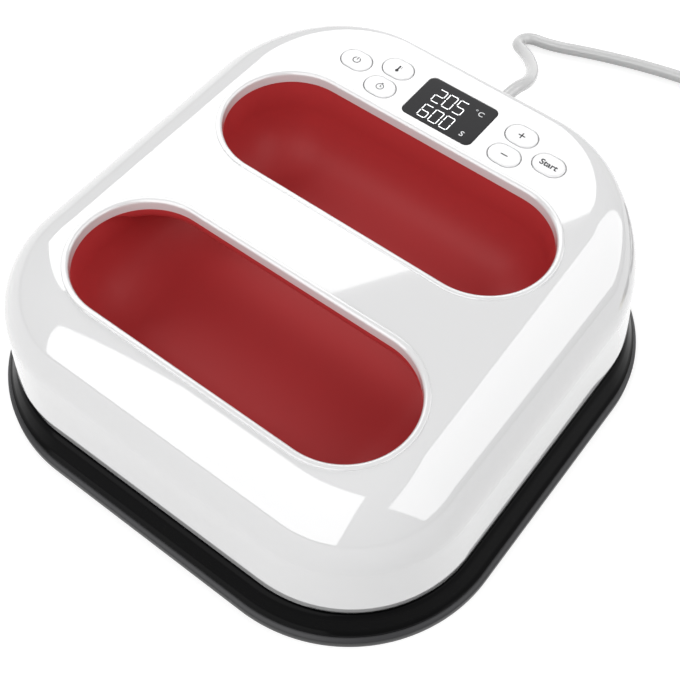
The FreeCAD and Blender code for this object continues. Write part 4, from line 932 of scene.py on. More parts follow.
@dataclass
class Panel:
    """The six keys, their legends and the display window."""

    plan: Plan
    key_half_x: float = 7.7
    key_half_y: float = 5.8
    key_top: float = 84.5
    key_bottom: float = 80.6
    key_gap: float = 0.35
    flange: float = 0.9
    flange_top: float = 81.3
    flange_t: float = 1.4
    stem_r: float = 2.2
    stem_low: float = 77.4
    print_t: float = 0.05
    lens_half_x: float = 18.7
    lens_half_y: float = 13.5
    lens_y: float = 91.3
    lens_top: float = 84.1
    lens_t: float = 1.4
    digit_half_x: float = 2.15
    digit_bar: float = 0.5
    digit_gap: float = 0.14
    lens_r: float = 3.2
    lens_gap: float = 0.15
    lens_rest: float = 2.6
    lens_edge: float = 0.35
    hole_lip: float = 0.22
    key_edge: float = 0.5
    stem_edge: float = 0.3
    stem_h: float = 3.4
    legend_drop: float = 0.035
    figure_drop: float = 0.02
    line: float = 0.42
    key_steps: int = 20
    lens_steps: int = 12
    keys: list[KeySpec] = field(
        default_factory=lambda: [
            KeySpec("power_key", -52.9, 91.1),
            KeySpec("temperature_key", -34.1, 98.4),
            KeySpec("timer_key", -34.1, 83.9),
            KeySpec("plus_key", 34.1, 98.4),
            KeySpec("minus_key", 34.1, 83.9),
            KeySpec("start_key", 52.9, 91.1),
        ]
    )

    def key_outline(self, key: KeySpec) -> Outline:
        """The key's stadium."""
        return Outline.even(self.key_half_x, self.key_half_y, self.key_half_y, key.x, key.y)

    def openings(self) -> list[bpy.types.Object]:
        """Makes what cuts the key holes and the window's pocket in the shell.

        Returns:
            The cutting tools.
        """
        top = self.plan.shell_top
        tools = []
        for key in self.keys:
            hole = self.key_outline(key).grown(self.key_gap)
            mouth = hole.grown(self.hole_lip)
            levels = [Level(hole, self.key_bottom - 2.0), Level(hole, top - self.hole_lip)]
            levels += [Level(mouth, top + 0.001), Level(mouth, top + 2.0)]
            tools.append(Piece("tool").stacked(levels, self.key_steps).finish(Finish.SHELL, None))
        lens = self.lens_outline().grown(self.lens_gap)
        pocket = self.lens_top - self.lens_t
        through = lens.grown(-self.lens_rest)
        levels = [Level(through, 78.0), Level(through, pocket)]
        levels += [Level(lens, pocket + 0.001), Level(lens, 90.0)]
        tools.append(Piece("tool").stacked(levels, self.lens_steps).finish(Finish.SHELL, None))
        return tools

    def lens_outline(self) -> Outline:
        """The window's outline."""
        return Outline.even(self.lens_half_x, self.lens_half_y, self.lens_r, y=self.lens_y)

    def build_key(self, key: KeySpec) -> None:
        """Makes one key cap with its flange and stem.

        Args:
            key: The key.
        """
        outline = self.key_outline(key)
        edge = self.key_edge
        cap = [Level(outline, self.key_bottom)]
        cap += rounded(outline, -edge, self.key_top - edge, edge, 0, 90, 6)
        cap += [Level(outline.grown(-1.8), self.key_top - 0.02)]
        cap += [Level(outline.grown(-4.0), self.key_top - 0.06)]
        skirt = outline.grown(self.key_gap + self.flange)
        low = self.flange_top - self.flange_t
        piece = Piece(key.name + "_cap").stacked(cap, self.key_steps)
        piece.stacked([Level(skirt, low), Level(skirt, self.flange_top)], self.key_steps)
        stem = [(0.0, 0.0), (self.stem_r - self.stem_edge, 0.0), (self.stem_r, self.stem_edge)]
        stem += [(self.stem_r, self.stem_h), (0.0, self.stem_h)]
        piece.turned(stem, UP, Vector((key.x, key.y, self.stem_low)), 24)
        piece.finish(Finish.KEY, key.name, [key.name], "key_white")

    def stroke(self, piece: Piece, points: Line, width: float, base: Vector) -> None:
        """Adds a printed line of flat bars with round joints, or a dot where it has one point.

        Args:
            piece: The print that it joins.
            points: The line's points round base, in millimetres.
            width: The line's width.
            base: The place on the printed face that the points count from.
        """
        for start, end in zip(points, points[1:]):
            a, b = Vector((*start, 0.0)), Vector((*end, 0.0))
            along = b - a
            size = Vector((along.length, width, self.print_t))
            flat = bmesh.new()
            bmesh.ops.create_cube(flat, size=1.0)
            bmesh.ops.scale(flat, vec=size * MM, verts=flat.verts[:])
            turn = Matrix.Rotation(math.atan2(along.y, along.x), 4, "Z")
            piece.absorb(flat, Matrix.Translation((base + (a + b) / 2) * MM) @ turn)
        half, radius = self.print_t / 2, width / 2
        disc = [(0, -half), (radius, -half), (radius, half), (0, half)]
        for point in points:
            piece.turned(disc, UP, base + Vector((*point, 0.0)), 16)

    def arc(
        self, centre: tuple[float, float], radius: float, start: float = 0, end: float = 360
    ) -> Line:
        """Lays points along an arc.

        Args:
            centre: Its middle.
            radius: Its radius.
            start: The first point's angle in degrees.
            end: The last point's angle in degrees.

        Returns:
            The points.
        """
        steps = max(4, int(abs(end - start) / 12))
        angles = [math.radians(start + (end - start) * i / steps) for i in range(steps + 1)]
        return [(centre[0] + radius * math.cos(a), centre[1] + radius * math.sin(a)) for a in angles]

    def marks(self) -> dict[str, list[tuple[Line, float]]]:
        """Draws the symbols of the keys, round each key's middle.

        Returns:
            Each symbol's lines with their widths, by the key's name.
        """
        line, bold, fine, bulb = self.line, 0.6, 0.25, 0.85
        across = ([(-1.5, 0.0), (1.5, 0.0)], bold)
        return {
            "power_key": [
                (self.arc((0, 0), 1.75, 122, 418), line),
                ([(0.0, 0.3), (0.0, 1.95)], line),
            ],
            "temperature_key": [
                ([(0.0, -1.35)], bulb * 2),
                ([(0.0, -1.2), (0.0, 1.75)], bulb),
                ([(0.95, 1.7), (1.35, 1.7)], fine),
                ([(0.95, 0.8), (1.35, 0.8)], fine),
            ],
            "timer_key": [
                (self.arc((0, -0.1), 1.75), line * 0.85),
                ([(0.0, 0.85), (0.0, -0.1), (0.75, -0.1)], line * 0.8),
                ([(-0.35, 2.2), (0.35, 2.2)], line),
            ],
            "plus_key": [across, ([(0.0, -1.5), (0.0, 1.5)], bold)],
            "minus_key": [across],
        }

    def legends(self) -> None:
        """Prints the symbols and the word on the keys."""
        marks = self.marks()
        for key in self.keys:
            piece = Piece(key.name + "_legend")
            base = Vector((key.x, key.y, self.key_top - self.legend_drop))
            for points, width in marks.get(key.name, ()):
                self.stroke(piece, points, width, base)
            if key.name == "start_key":
                lettering(piece, "Start", 4.5, base, self.print_t, 0.12)
            piece.finish(Finish.LEGEND, key.name)

    def segment(self, piece: Piece, centre: Vector, length: float, upright: bool) -> None:
        """Adds one bar of a seven segment digit, tapered towards one end.

        Args:
            piece: The print that it joins.
            centre: The bar's middle.
            length: Its length.
            upright: Whether it runs up the panel.
        """
        bar = bmesh.new()
        made = bmesh.ops.create_circle(bar, cap_ends=True, segments=6, radius=1.0)["verts"]
        half, thick = length / 2, self.digit_bar / 2
        flat = half - thick
        places = [(half, 0), (-flat, thick), (-flat, -thick)]
        places += [(flat, -thick), (flat, -thick), (flat, thick)]
        for vert, place in zip(made, places):
            vert.co = Vector((*place, 0.0))
        grown = bmesh.ops.extrude_face_region(bar, geom=bar.faces[:])["geom"]
        tops = [item for item in grown if isinstance(item, bmesh.types.BMVert)]
        bmesh.ops.translate(bar, vec=(0, 0, self.print_t), verts=tops)
        turn = Matrix.Rotation(math.radians(90 if upright else 0), 4, "Z")
        piece.absorb(bar, Matrix.Translation(centre * MM) @ turn @ Matrix.Scale(MM, 4))

    def digit(self, piece: Piece, figure: str, centre: Vector, half_y: float) -> None:
        """Adds one seven segment figure.

        Args:
            piece: The print that it joins.
            figure: The figure.
            centre: Its middle.
            half_y: Half its height.
        """
        shapes = {"2": "abged", "0": "abcdef", "5": "afgcd", "6": "afgcde"}
        half_x = self.digit_half_x
        level = 2 * half_x - 2 * self.digit_gap
        upright = half_y - 2 * self.digit_gap
        bars = {
            "a": (0.0, half_y, level, False),
            "g": (0.0, 0.0, level, False),
            "d": (0.0, -half_y, level, False),
            "b": (half_x, half_y / 2, upright, True),
            "c": (half_x, -half_y / 2, upright, True),
            "f": (-half_x, half_y / 2, upright, True),
            "e": (-half_x, -half_y / 2, upright, True),
        }
        for name in shapes[figure]:
            x, y, length, is_upright = bars[name]
            self.segment(piece, centre + Vector((x, y, 0.0)), length, is_upright)

    def display(self) -> None:
        """Makes the window, its lit figures and its units."""
        lens = self.lens_outline()
        edge = self.lens_edge
        levels = [Level(lens, self.lens_top - self.lens_t)]
        levels += rounded(lens, -edge, self.lens_top - edge, edge, 0, 90, 5)
        window = Piece("display_window").stacked(levels, self.lens_steps)
        window.finish(Finish.LENS, "press", ["display_lens"], "lens_smoke")
        z = self.lens_top - self.figure_drop
        figures = Piece("display_figures")
        for text, y, pitch, half_y in (("205", 95.75, 5.8, 4.3), ("600", 84.35, 5.95, 3.95)):
            for step, figure in enumerate(text):
                self.digit(figures, figure, Vector((-8.95 + pitch * step, y, z)), half_y)
        figures.finish(Finish.SEGMENT, "press")
        units = Piece("display_units")
        lettering(units, "C", 4.1, Vector((12.4, 98.2, z)), self.print_t, 0.03)
        self.stroke(units, self.arc((9.6, 99.3), 0.42), 0.3, Vector((0.0, 0.0, z)))
        lettering(units, "S", 4.3, Vector((12.0, 83.0, z)), self.print_t, 0.05)
        units.finish(Finish.SEGMENT_SMALL, "press")

    def build(self) -> None:
        """Makes the whole panel."""
        for key in self.keys:
            self.build_key(key)
        self.legends()
        self.display()


def lettering(
    piece: Piece, text: str, size: float, centre: Vector, thick: float, weight: float
) -> None:
    """Adds words as a thin mesh.

    Args:
        piece: The print that they join.
        text: The words.
        size: Letter size in millimetres.
        centre: The middle of the words.
        thick: Thickness of the print.
        weight: How much bolder than the plain face.
    """
    curve = bpy.data.curves.new("lettering", "FONT")
    curve.body = text
    curve.size = size
    curve.offset = weight
    curve.extrude = thick / 2
    curve.align_x = "CENTER"
    curve.align_y = "CENTER"
    curve.resolution_u = 6
    holder = bpy.data.objects.new("lettering", curve)
    bpy.context.scene.collection.objects.link(holder)
    bpy.context.view_layer.update()
    shown = holder.evaluated_get(bpy.context.evaluated_depsgraph_get())
    mesh = bpy.data.meshes.new_from_object(shown)
    letters = bmesh.new()
    letters.from_mesh(mesh)
    bpy.data.objects.remove(holder)
    bpy.data.meshes.remove(mesh)
    xs = [v.co.x for v in letters.verts]
    ys = [v.co.y for v in letters.verts]
    middle = Vector(((min(xs) + max(xs)) / 2, (min(ys) + max(ys)) / 2, 0.0))
    place = Matrix.Translation(centre * MM) @ Matrix.Scale(MM, 4)
    piece.absorb(letters, place @ Matrix.Translation(-middle))


@dataclass
class Housing:
    """The white shell with its slot rims, and the red tub and grip inside."""

    plan: Plan
    panel: Panel
    corner_steps: int = 28
    tuck_top: float = 24.6
    tuck_in: float = 1.1
    rim_low: float = 79.2
    rim_wall: float = 2.2
    bead_width: float = 3.0
    bead_h: float = 0.5
    bead_roll: float = 1.6
    bead_sink: float = 1.7
    tub_gap: float = 0.4
    tub_floor: float = 37.8
    tub_bend: float = 26.0
    tub_wall: float = 2.2
    grip_low: float = 69.6
    grip_edge: float = 8.2
    grip_end: float = 41.0
    relief_hole: float = 6.7
    relief_z: float = 50.0
    slot_gap: float = 0.9
    slot_steps: int = 40
    grip_gap: float = 0.35
    flare_steps: int = 8

    def skin(self, offset: float) -> list[Level]:
        """The shell's levels from its foot to its panel.

        Args:
            offset: How far they are drawn in. At 0 the foot is tucked in.

        Returns:
            The levels, upwards.
        """
        plan = self.plan
        levels = []
        if offset == 0:
            foot = plan.wall_level(plan.shell_bottom, 0).outline
            levels.append(Level(foot.grown(-self.tuck_in - 0.2), plan.shell_bottom))
            levels.append(Level(foot.grown(-self.tuck_in), plan.shell_bottom + 0.25))
            for share in (0.35, 0.62, 0.82, 0.93):
                z = plan.shell_bottom + share * (self.tuck_top - plan.shell_bottom)
                tucked = plan.wall_level(z, 0).outline.grown(-self.tuck_in * (1 - share))
                levels.append(Level(tucked, z))
            levels.append(plan.wall_level(self.tuck_top, 0))
            levels.append(plan.wall_level(self.tuck_top + 1.2, 0))
        else:
            levels.append(plan.wall_level(plan.shell_bottom, offset))
        levels.append(plan.wall_level(38.0, offset))
        levels += [plan.shoulder_level(90.0 * step / 30, offset) for step in range(31)]
        return levels

    def shell(self) -> None:
        """Makes the hollow shell and cuts its openings."""
        plan = self.plan
        inner = list(reversed(self.skin(plan.wall)))
        piece = Piece("shell").stacked(inner + self.skin(0.0), self.corner_steps)
        shell = piece.finish(Finish.SHELL, None)
        tools = []
        for outline in plan.slots().values():
            opening = outline.grown(self.slot_gap)
            levels = [Level(opening, 74.0), Level(opening, 90.0)]
            tools.append(Piece("tool").stacked(levels, self.slot_steps).finish(Finish.SHELL, None))
        tools += self.panel.openings()
        hole = [(0.0, 0.0), (self.relief_hole, 0.0), (self.relief_hole, 12.0), (0.0, 12.0)]
        drill = Piece("tool").turned(hole, BACK, Vector((0, 112.0, self.relief_z)), 40)
        tools.append(drill.finish(Finish.SHELL, None))
        model = twin(shell)
        carve(shell, tools)
        smooth_like(shell, model)
        attach(shell, "press", ["top_shell"])

    def rims(self) -> None:
        """Makes the raised bead and the short wall round each slot."""
        top = self.plan.shell_top
        roll = self.bead_roll
        for name, outline in self.plan.slots().items():
            levels = [Level(outline, self.rim_low)]
            levels += rounded(outline, roll, top + self.bead_h - roll, roll, 180, 90, 10)
            levels += rounded(outline, self.bead_width - self.bead_h, top, self.bead_h, 90, 0, 5)
            levels += [Level(outline.grown(self.bead_width), top - self.bead_sink)]
            levels += [Level(outline.grown(self.rim_wall), top - self.bead_sink - 0.3)]
            levels += [Level(outline.grown(self.rim_wall), self.rim_low)]
            piece = Piece(name + "_slot_rim").stacked(levels, self.slot_steps, Ends.LOOPED)
            piece.finish(Finish.SHELL, "press", (), "shell_white")

    def tub_outline(self) -> Outline:
        """The tub's plan.

        Returns:
            An outline round both slots.
        """
        plan = self.plan
        half_y = (plan.slot_rear_y - plan.slot_front_y) / 2 + plan.slot_half_y
        middle = (plan.slot_rear_y + plan.slot_front_y) / 2
        outline = Outline.even(plan.slot_half_x, half_y, plan.slot_half_y, y=middle)
        return outline.grown(self.tub_gap)

    def tub(self) -> None:
        """Makes the red bowl under the bar."""
        outline = self.tub_outline()
        bend = self.tub_bend
        thick = self.tub_wall
        centre = self.tub_floor + bend
        outer = [Level(outline.grown(thick), self.rim_low)]
        outer += rounded(outline, -bend, centre, bend + thick, 0, -90, 18)
        inner = [Level(outline, self.rim_low)]
        inner += rounded(outline, -bend, centre, bend, 0, -90, 18)
        piece = Piece("tub").stacked(outer[::-1] + inner, 32)
        piece.finish(Finish.TUB, "press", ["grip_tub"], "tub_red")

    def grip(self) -> None:
        """Makes the red underside of the handle bar."""
        tub = self.tub_outline().grown(-self.grip_gap)
        steps = self.flare_steps
        angles = [math.radians(90.0 * step / steps) for step in range(steps + 1)]
        height = self.rim_low - self.grip_low
        block = [Level(tub, self.grip_low), Level(tub, self.rim_low)]
        made = Piece("grip_underside").stacked(block, self.slot_steps).finish(Finish.TUB, None)
        low = self.grip_end - height * 1.3
        levels = []
        for angle in angles:
            reach = low + (self.grip_end - low) * (1 - math.cos(angle))
            outline = Outline.even(140.0, reach, LEAST_RADIUS, y=tub.y)
            levels.append(Level(outline, self.grip_low + height * math.sin(angle)))
        levels.append(Level(levels[-1].outline, self.rim_low + 2))
        levels.insert(0, Level(levels[0].outline, self.grip_low - 2))
        trim = Piece("tool").stacked(levels, 1).finish(Finish.TUB, None)
        carve(made, [trim], "INTERSECT")
        edge = self.grip_edge
        tools = []
        for outline in self.plan.slots().values():
            flare = [Level(outline.grown(edge), self.grip_low - 1)]
            for angle in angles:
                grown = outline.grown(edge * (1 - math.sin(angle)))
                flare.append(Level(grown, self.grip_low + edge * (1 - math.cos(angle))))
            flare.append(Level(outline, self.rim_low + 1))
            tools.append(Piece("tool").stacked(flare, self.slot_steps).finish(Finish.TUB, None))
        carve(made, tools)
        attach(made, "press", ["bar_underside"])

    def build(self) -> None:
        """Makes the whole housing."""
        self.shell()
        self.rims()
        self.tub()
        self.grip()


@dataclass
class Base:
    """The black skirt and the heated plate below it."""

    plan: Plan
    corner_steps: int = 40
    foot_inset: float = 1.8
    foot_low: float = 6.4
    foot_high: float = 8.0
    top: float = 17.2
    tuck: float = 0.3
    collar_top: float = 26.0
    collar_gap: float = 0.4
    collar_wall: float = 2.2
    web_low: float = 12.0
    web_high: float = 14.4
    lip_h: float = 6.2
    chamfer: float = 1.3
    pad_h: float = 1.2

    def skirt(self) -> None:
        """Makes the sloping skirt and the collar inside the shell."""
        plan = self.plan
        foot = plan.plate(self.foot_inset)
        crown = plan.wall_level(self.top, self.tuck).outline
        inner, web = plan.plate(5.5), plan.plate(30.0)
        collar = plan.wall_level(self.top, plan.wall + self.collar_gap).outline
        within = collar.grown(-self.collar_wall)
        levels = [Level(web, self.web_high), Level(web, self.web_low), Level(inner, self.web_low)]
        levels += [Level(inner, self.foot_low)]
        levels += rounded(foot, -0.5, self.foot_low + 0.5, 0.5, -90, 0, 4)
        levels += rounded(foot, -0.9, self.foot_high - 0.2, 0.9, 0, 45, 3)
        for share in (0.12, 0.3, 0.5, 0.7, 0.88):
            z = self.foot_high + share * (self.top - self.foot_high)
            levels.append(Level(self.between(foot.grown(-0.45), crown, share), z))
        levels += rounded(crown, -0.7, self.top - 0.7, 0.7, 25, 90, 4)
        levels += [Level(collar, self.top), Level(collar, self.collar_top)]
        levels += [Level(within, self.collar_top), Level(within, 15.0)]
        levels += [Level(plan.plate(16.0), self.web_high)]
        piece = Piece("skirt").stacked(levels, self.corner_steps, Ends.LOOPED)
        piece.finish(Finish.SKIRT, "press", ["base_skirt"], "skirt_black")

    @staticmethod
    def between(first: Outline, second: Outline, share: float) -> Outline:
        """An outline part of the way from one to another.

        Args:
            first: Where the share is 0.
            second: Where the share is 1.
            share: The part of the way.

        Returns:
            The outline.
        """
        sizes = [getattr(first, item.name) for item in fields(first)]
        others = [getattr(second, item.name) for item in fields(second)]
        return Outline(*[a + (b - a) * share for a, b in zip(sizes, others)])

    def plate(self) -> None:
        """Makes the plate: a flat working face, a lip and the raised pad."""
        edge = self.plan.plate(0.0)
        pad = edge.grown(-14.0)
        levels = [Level(edge.grown(-40.0), 0.0), Level(edge.grown(-3.0), 0.0)]
        levels += rounded(edge, -0.8, 0.8, 0.8, -90, 0, 5)
        levels += [Level(edge, self.lip_h - self.chamfer - 0.25)]
        levels += [Level(edge.grown(-0.12), self.lip_h - self.chamfer)]
        levels += [Level(edge.grown(-self.chamfer), self.lip_h - 0.1)]
        levels += [Level(edge.grown(-self.chamfer - 0.25), self.lip_h)]
        levels += [Level(pad, self.lip_h), Level(pad, self.lip_h + self.pad_h)]
        levels += [Level(edge.grown(-60.0), self.lip_h + self.pad_h)]
        piece = Piece("plate").stacked(levels, self.corner_steps)
        piece.finish(Finish.PLATE, "press", ["heat_plate"], "plate_coated")

    def build(self) -> None:
        """Makes the whole base."""
        self.skirt()
        self.plate()


@dataclass
class Lead:
    """The mains lead: sleeve, free run, coil, strap and plug."""

    diameter: float = 6.4
    exit_z: float = 50.0
    sleeve_wall_y: float = 119.0
    sleeve_length: float = 22.0
    coil_x: float = 148.0
    coil_y: float = 226.0
    coil_r: float = 35.5
    pitch: float = 7.0
    lift: float = 0.9
    lower_turns: float = 2.5
    climb_turns: float = 0.5
    upper_turns: float = 2.25
    tail: float = 24.0
    per_turn: int = 16
    last_run: float = 30.0
    sleeve_r: float = 6.5
    sleeve_taper: float = 1.9
    sleeve_neck: float = 2.2
    sleeve_ribs: int = 5
    plug_half_z: float = 10.2
    blade_x: float = 6.35
    blade_half_x: float = 0.75
    route: list[tuple[float, float, float]] = field(
        default_factory=lambda: [
            (0.0, 141.0, 50.0),
            (0.0, 153.0, 50.0),
            (0.9, 166.0, 44.6),
            (-4.4, 182.0, 36.0),
            (-14.6, 198.9, 25.0),
            (-27.0, 214.6, 13.4),
            (-38.6, 226.0, 4.8),
            (-36.8, 236.6, 3.3),
            (-22.5, 238.4, 3.3),
            (-2.0, 247.2, 3.3),
            (21.5, 255.4, 3.3),
            (45.5, 261.8, 3.3),
            (75.0, 267.0, 3.6),
        ]
    )

    def coil_point(self, turn: float, widen: float = 1.0) -> Vector:
        """A point of the coil.

        Args:
            turn: How many turns lie behind it.
            widen: What its radius is multiplied by.

        Returns:
            The point, in millimetres.
        """
        outer = self.coil_r + self.pitch * self.lower_turns / 2
        reversal = self.lower_turns + self.climb_turns / 2
        radius = outer - self.pitch * (turn if turn < reversal else 2 * reversal - turn)
        rise = min(max((turn - self.lower_turns) / self.climb_turns, 0.0), 1.0)
        z = self.diameter / 2 + self.lift + self.pitch * (3 * rise**2 - 2 * rise**3)
        angle = math.pi / 2 - math.tau * turn
        x = self.coil_x + widen * radius * math.cos(angle)
        return Vector((x, self.coil_y + widen * radius * math.sin(angle), z))

    def points(self) -> list[Vector]:
        """Lays out the control points of the whole lead.

        Returns:
            The points, in millimetres.
        """
        top = self.coil_point(0.0)
        start = top - Vector((self.diameter, 0, 0))
        points = [Vector(p) for p in self.route]
        points += [start - Vector((self.last_run, 0, 0)), start]
        total = self.lower_turns + self.climb_turns + self.upper_turns
        widen = 1 / math.cos(math.pi / self.per_turn)
        steps = int(round(total * self.per_turn))
        points += [self.coil_point((i + 0.5) / self.per_turn, widen) for i in range(steps)]
        end, along = self.plug_place()
        points += [end - along * (self.tail - 4.0), end - along * 8.0, end]
        return points

    def plug_place(self) -> tuple[Vector, Vector]:
        """Finds where the plug starts and which way it points.

        Returns:
            The place in millimetres, and the direction.
        """
        total = self.lower_turns + self.climb_turns + self.upper_turns
        last = self.coil_point(total)
        angle = math.pi / 2 - math.tau * total
        inward = -self.pitch / math.tau
        flat = Vector((math.sin(angle), -math.cos(angle), 0.0))
        outward = Vector((math.cos(angle), math.sin(angle), 0.0))
        radius = (last - Vector((self.coil_x, self.coil_y, last.z))).length
        along = (flat - outward * (inward / radius)).normalized()
        return last + along * self.tail, along

    def flex(self, with_pieces: list[bpy.types.Object]) -> None:
        """Lays the lead on one smooth curve.

        Args:
            with_pieces: The sleeve, plug and strap. Not used.
        """
        curve = bpy.data.curves.new("lead", "CURVE")
        curve.dimensions = "3D"
        curve.bevel_depth = self.diameter / 2 * MM
        curve.bevel_resolution = 7
        curve.use_fill_caps = True
        curve.resolution_u = 6
        spline = curve.splines.new("NURBS")
        points = self.points()
        spline.points.add(len(points) - 1)
        for seat, point in zip(spline.points, points):
            seat.co = (*(point * MM), 1.0)
        spline.order_u = 3
        spline.use_endpoint_u = True
        spline.use_smooth = True
        lead = bpy.data.objects.new("lead", curve)
        bpy.context.scene.collection.objects.link(lead)
        curve.materials.append(Finish.CORD.material())
        attach(lead, "press", ["cord_lead", "cord_coil"])
        tuple(points[0] * MM)

    def sleeve(self) -> bpy.types.Object:
        """Turns the ribbed sleeve at the rear wall.

        Returns:
            The sleeve.
        """
        neck, wide = self.sleeve_neck, self.sleeve_r
        profile = [(0.0, -6.8), (8.2, -6.8), (8.5, -6.5), (8.5, -5.0), (wide, -4.8), (wide, 0.2)]
        profile += [(8.2, 0.2), (8.5, 0.5), (8.5, 1.7), (8.1, neck)]
        pitch = (self.sleeve_length - neck) / self.sleeve_ribs
        for i in range(self.sleeve_ribs):
            rib = wide - self.sleeve_taper * (i + 0.5) / self.sleeve_ribs
            y = neck + i * pitch
            profile += [(rib - 1.1, y + 0.1), (rib - 1.1, y + pitch * 0.40)]
            profile += [(rib - 0.3, y + pitch * 0.44), (rib, y + pitch * 0.54)]
            profile += [(rib, y + pitch * 0.9), (rib - 0.3, y + pitch * 0.99)]
        profile += [(3.3, self.sleeve_length - 0.1), (0.0, self.sleeve_length - 0.1)]
        place = Vector((0, self.sleeve_wall_y, self.exit_z))
        piece = Piece("sleeve").turned(profile, BACK, place, 56)
        return piece.finish(Finish.SLEEVE, "press", ["cord_strain_relief"], "cord_grey", 40.0)

    def plug_matrix(self) -> Matrix:
        """Carries what is drawn along +Z from the origin to the lead's far end.

        Returns:
            The matrix, in metres.
        """
        end, along = self.plug_place()
        side = UP.cross(along).normalized()
        turn = Matrix((side, UP, along)).transposed().to_4x4()
        return Matrix.Translation(end * MM) @ turn

    def plug(self) -> list[bpy.types.Object]:
        """Makes the plug's body, blades and earth pin.

        Returns:
            The three pieces.
        """
        half_z = self.plug_half_z
        stations = [
            (0.0, 4.2, 4.2, 4.1),
            (6.0, 4.9, 4.9, 4.8),
            (13.0, 6.4, 6.2, 5.6),
            (15.5, 8.2, 7.2, 5.8),
            (19.0, 10.6, half_z - 1.3, 6.0),
            (23.0, 12.4, half_z - 0.4, 6.0),
            (27.0, 13.3, half_z - 0.1, 6.0),
            (33.0, 13.4, half_z, 6.0),
            (42.6, 13.4, half_z, 6.0),
            (43.6, 13.0, half_z - 0.4, 5.7),
            (44.0, 12.2, half_z - 1.2, 5.0),
        ]
        levels = [Level(Outline.even(*sizes), along) for along, *sizes in stations]
        shape = Piece("moulding").stacked(levels, 10)
        for side in (-1, 1):
            for rib in range(4):
                middle = Vector((0, side * (half_z + 0.05), 30.0 + rib * 3.0))
                half = Vector((6.5, 0.35, 0.5))
                shape.block(middle - half, middle + half, 0.25)
        body = Piece("plug").absorb(shape.bm, self.plug_matrix())
        made = [body.finish(Finish.PLUG, "press", ["plug_body"], "cord_grey", 30.0)]
        flat = Piece("blades")
        half = self.blade_half_x
        for x in (-self.blade_x, self.blade_x):
            flat.block(Vector((x - half, -2.0, 43.0)), Vector((x + half, 4.4, 61.4)), 0.35)
        blades = Piece("plug_blade_pair").absorb(flat.bm, self.plug_matrix())
        made.append(blades.finish(Finish.BLADE, "press", ["plug_blades"], "blade_brass"))
        end, along = self.plug_place()
        profile = [(0.0, 43.0), (2.4, 43.0), (2.4, 62.6), (2.1, 63.6)]
        profile += [(1.5, 64.2), (0.8, 64.45), (0.0, 64.5)]
        pin = Piece("plug_pin").turned(profile, along, end + Vector((0, 0, -6.0)), 32)
        made.append(pin.finish(Finish.BLADE, "press", ["plug_earth_pin"], "blade_brass"))
        return made

    def strap(self) -> bpy.types.Object:
        """Makes the soft strap round the turns.

        Returns:
            The strap.
        """
        low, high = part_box("coil_tie")
        centre = (low + high) / 2 / MM
        half = (high - low) / 2 / MM
        outline = Outline.even(half.x - 0.05, half.z - 0.05, 3.1)
        inner, edge = outline.grown(-0.75), outline.grown(-0.2)
        width = half.y - 0.1
        levels = [Level(inner, -width), Level(edge, -width), Level(outline, -width + 0.3)]
        levels += [Level(outline, width - 0.3), Level(edge, width), Level(inner, width)]
        shape = bmesh.new()
        stack(shape, levels, 8, Ends.LOOPED)
        matrix = Matrix.Translation(centre * MM) @ Matrix.Rotation(math.radians(90), 4, "X")
        piece = Piece("strap").absorb(shape, matrix)
        return piece.finish(Finish.TIE, "press", ["coil_tie"], "tie_black", 40.0)

    def build(self) -> None:
        """Makes the whole lead."""
        self.flex([self.sleeve(), *self.plug(), self.strap()])


class Inside:
    """The CAD nodes inside the housing, dressed where they are."""

    finishes: Mapping[str, Finish] = {
        "plate_screws": Finish.SCREW,
        "heating_element": Finish.SHEATH,
        "element_terminals": Finish.CERAMIC,
        "element_clamps": Finish.SHEET,
        "clamp_screws": Finish.SCREW,
        "temperature_probe": Finish.SHEET,
        "thermal_cutout": Finish.CERAMIC,
        "sensor_screws": Finish.SCREW,
        "insulation_blanket": Finish.FIBRE,
        "heat_shield": Finish.SHEET,
        "shield_screws": Finish.SCREW,
        "tub_screws": Finish.SCREW,
        "grip_screws": Finish.SCREW,
        "lcd_module": Finish.MODULE,
        "key_switches": Finish.BLACK,
        "control_board": Finish.BOARD,
        "control_board_screws": Finish.SCREW,
        "buzzer": Finish.BLACK,
        "power_board": Finish.BOARD,
        "power_board_screws": Finish.SCREW,
        "transformer": Finish.IRON,
        "relay": Finish.RELAY,
        "filter_capacitor": Finish.BLACK,
        "terminal_block": Finish.TERMINAL,
        "cord_clamp": Finish.CLAMP,
        "cord_clamp_screws": Finish.SCREW,
        "inner_lead": Finish.CORD,
    }

    def build(self) -> None:
        """Gives every node its finish."""
        for name, finish in self.finishes.items():
            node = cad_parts[name]
            node.data.materials.clear()
            node.data.materials.append(finish.material())
            LOG.info("%s: dressed as %s", name, finish.value.name)


# Studio


@dataclass
class Softbox:
    """A soft rectangular lamp, placed by where its edges show in a glossy surface.

    The axis points from the press to the lamp's plane, and the edges count from where it meets it.
    """

    name: str
    axis: tuple[float, float, float]
    across: tuple[float, float]
    up: tuple[float, float]
    radiance: float
    distance: float = 1.3
    centre: tuple[float, float, float] = (0.0, 0.0, 0.06)

    def build(self) -> None:
        """Hangs the lamp square to its axis."""
        axis = Vector(self.axis).normalized()
        facing = axis.to_track_quat("Z", "Y")
        middle = Vector((sum(self.across) / 2, sum(self.up) / 2, self.distance))
        light = bpy.data.lights.new(self.name, "AREA")
        light.shape = "RECTANGLE"
        light.size = self.across[1] - self.across[0]
        light.size_y = self.up[1] - self.up[0]
        light.energy = self.radiance * light.size * light.size_y * math.pi
        lamp = bpy.data.objects.new(self.name, light)
        lamp.location = Vector(self.centre) + facing @ middle
        lamp.rotation_mode = "QUATERNION"
        lamp.rotation_quaternion = facing
        bpy.context.scene.collection.objects.link(lamp)


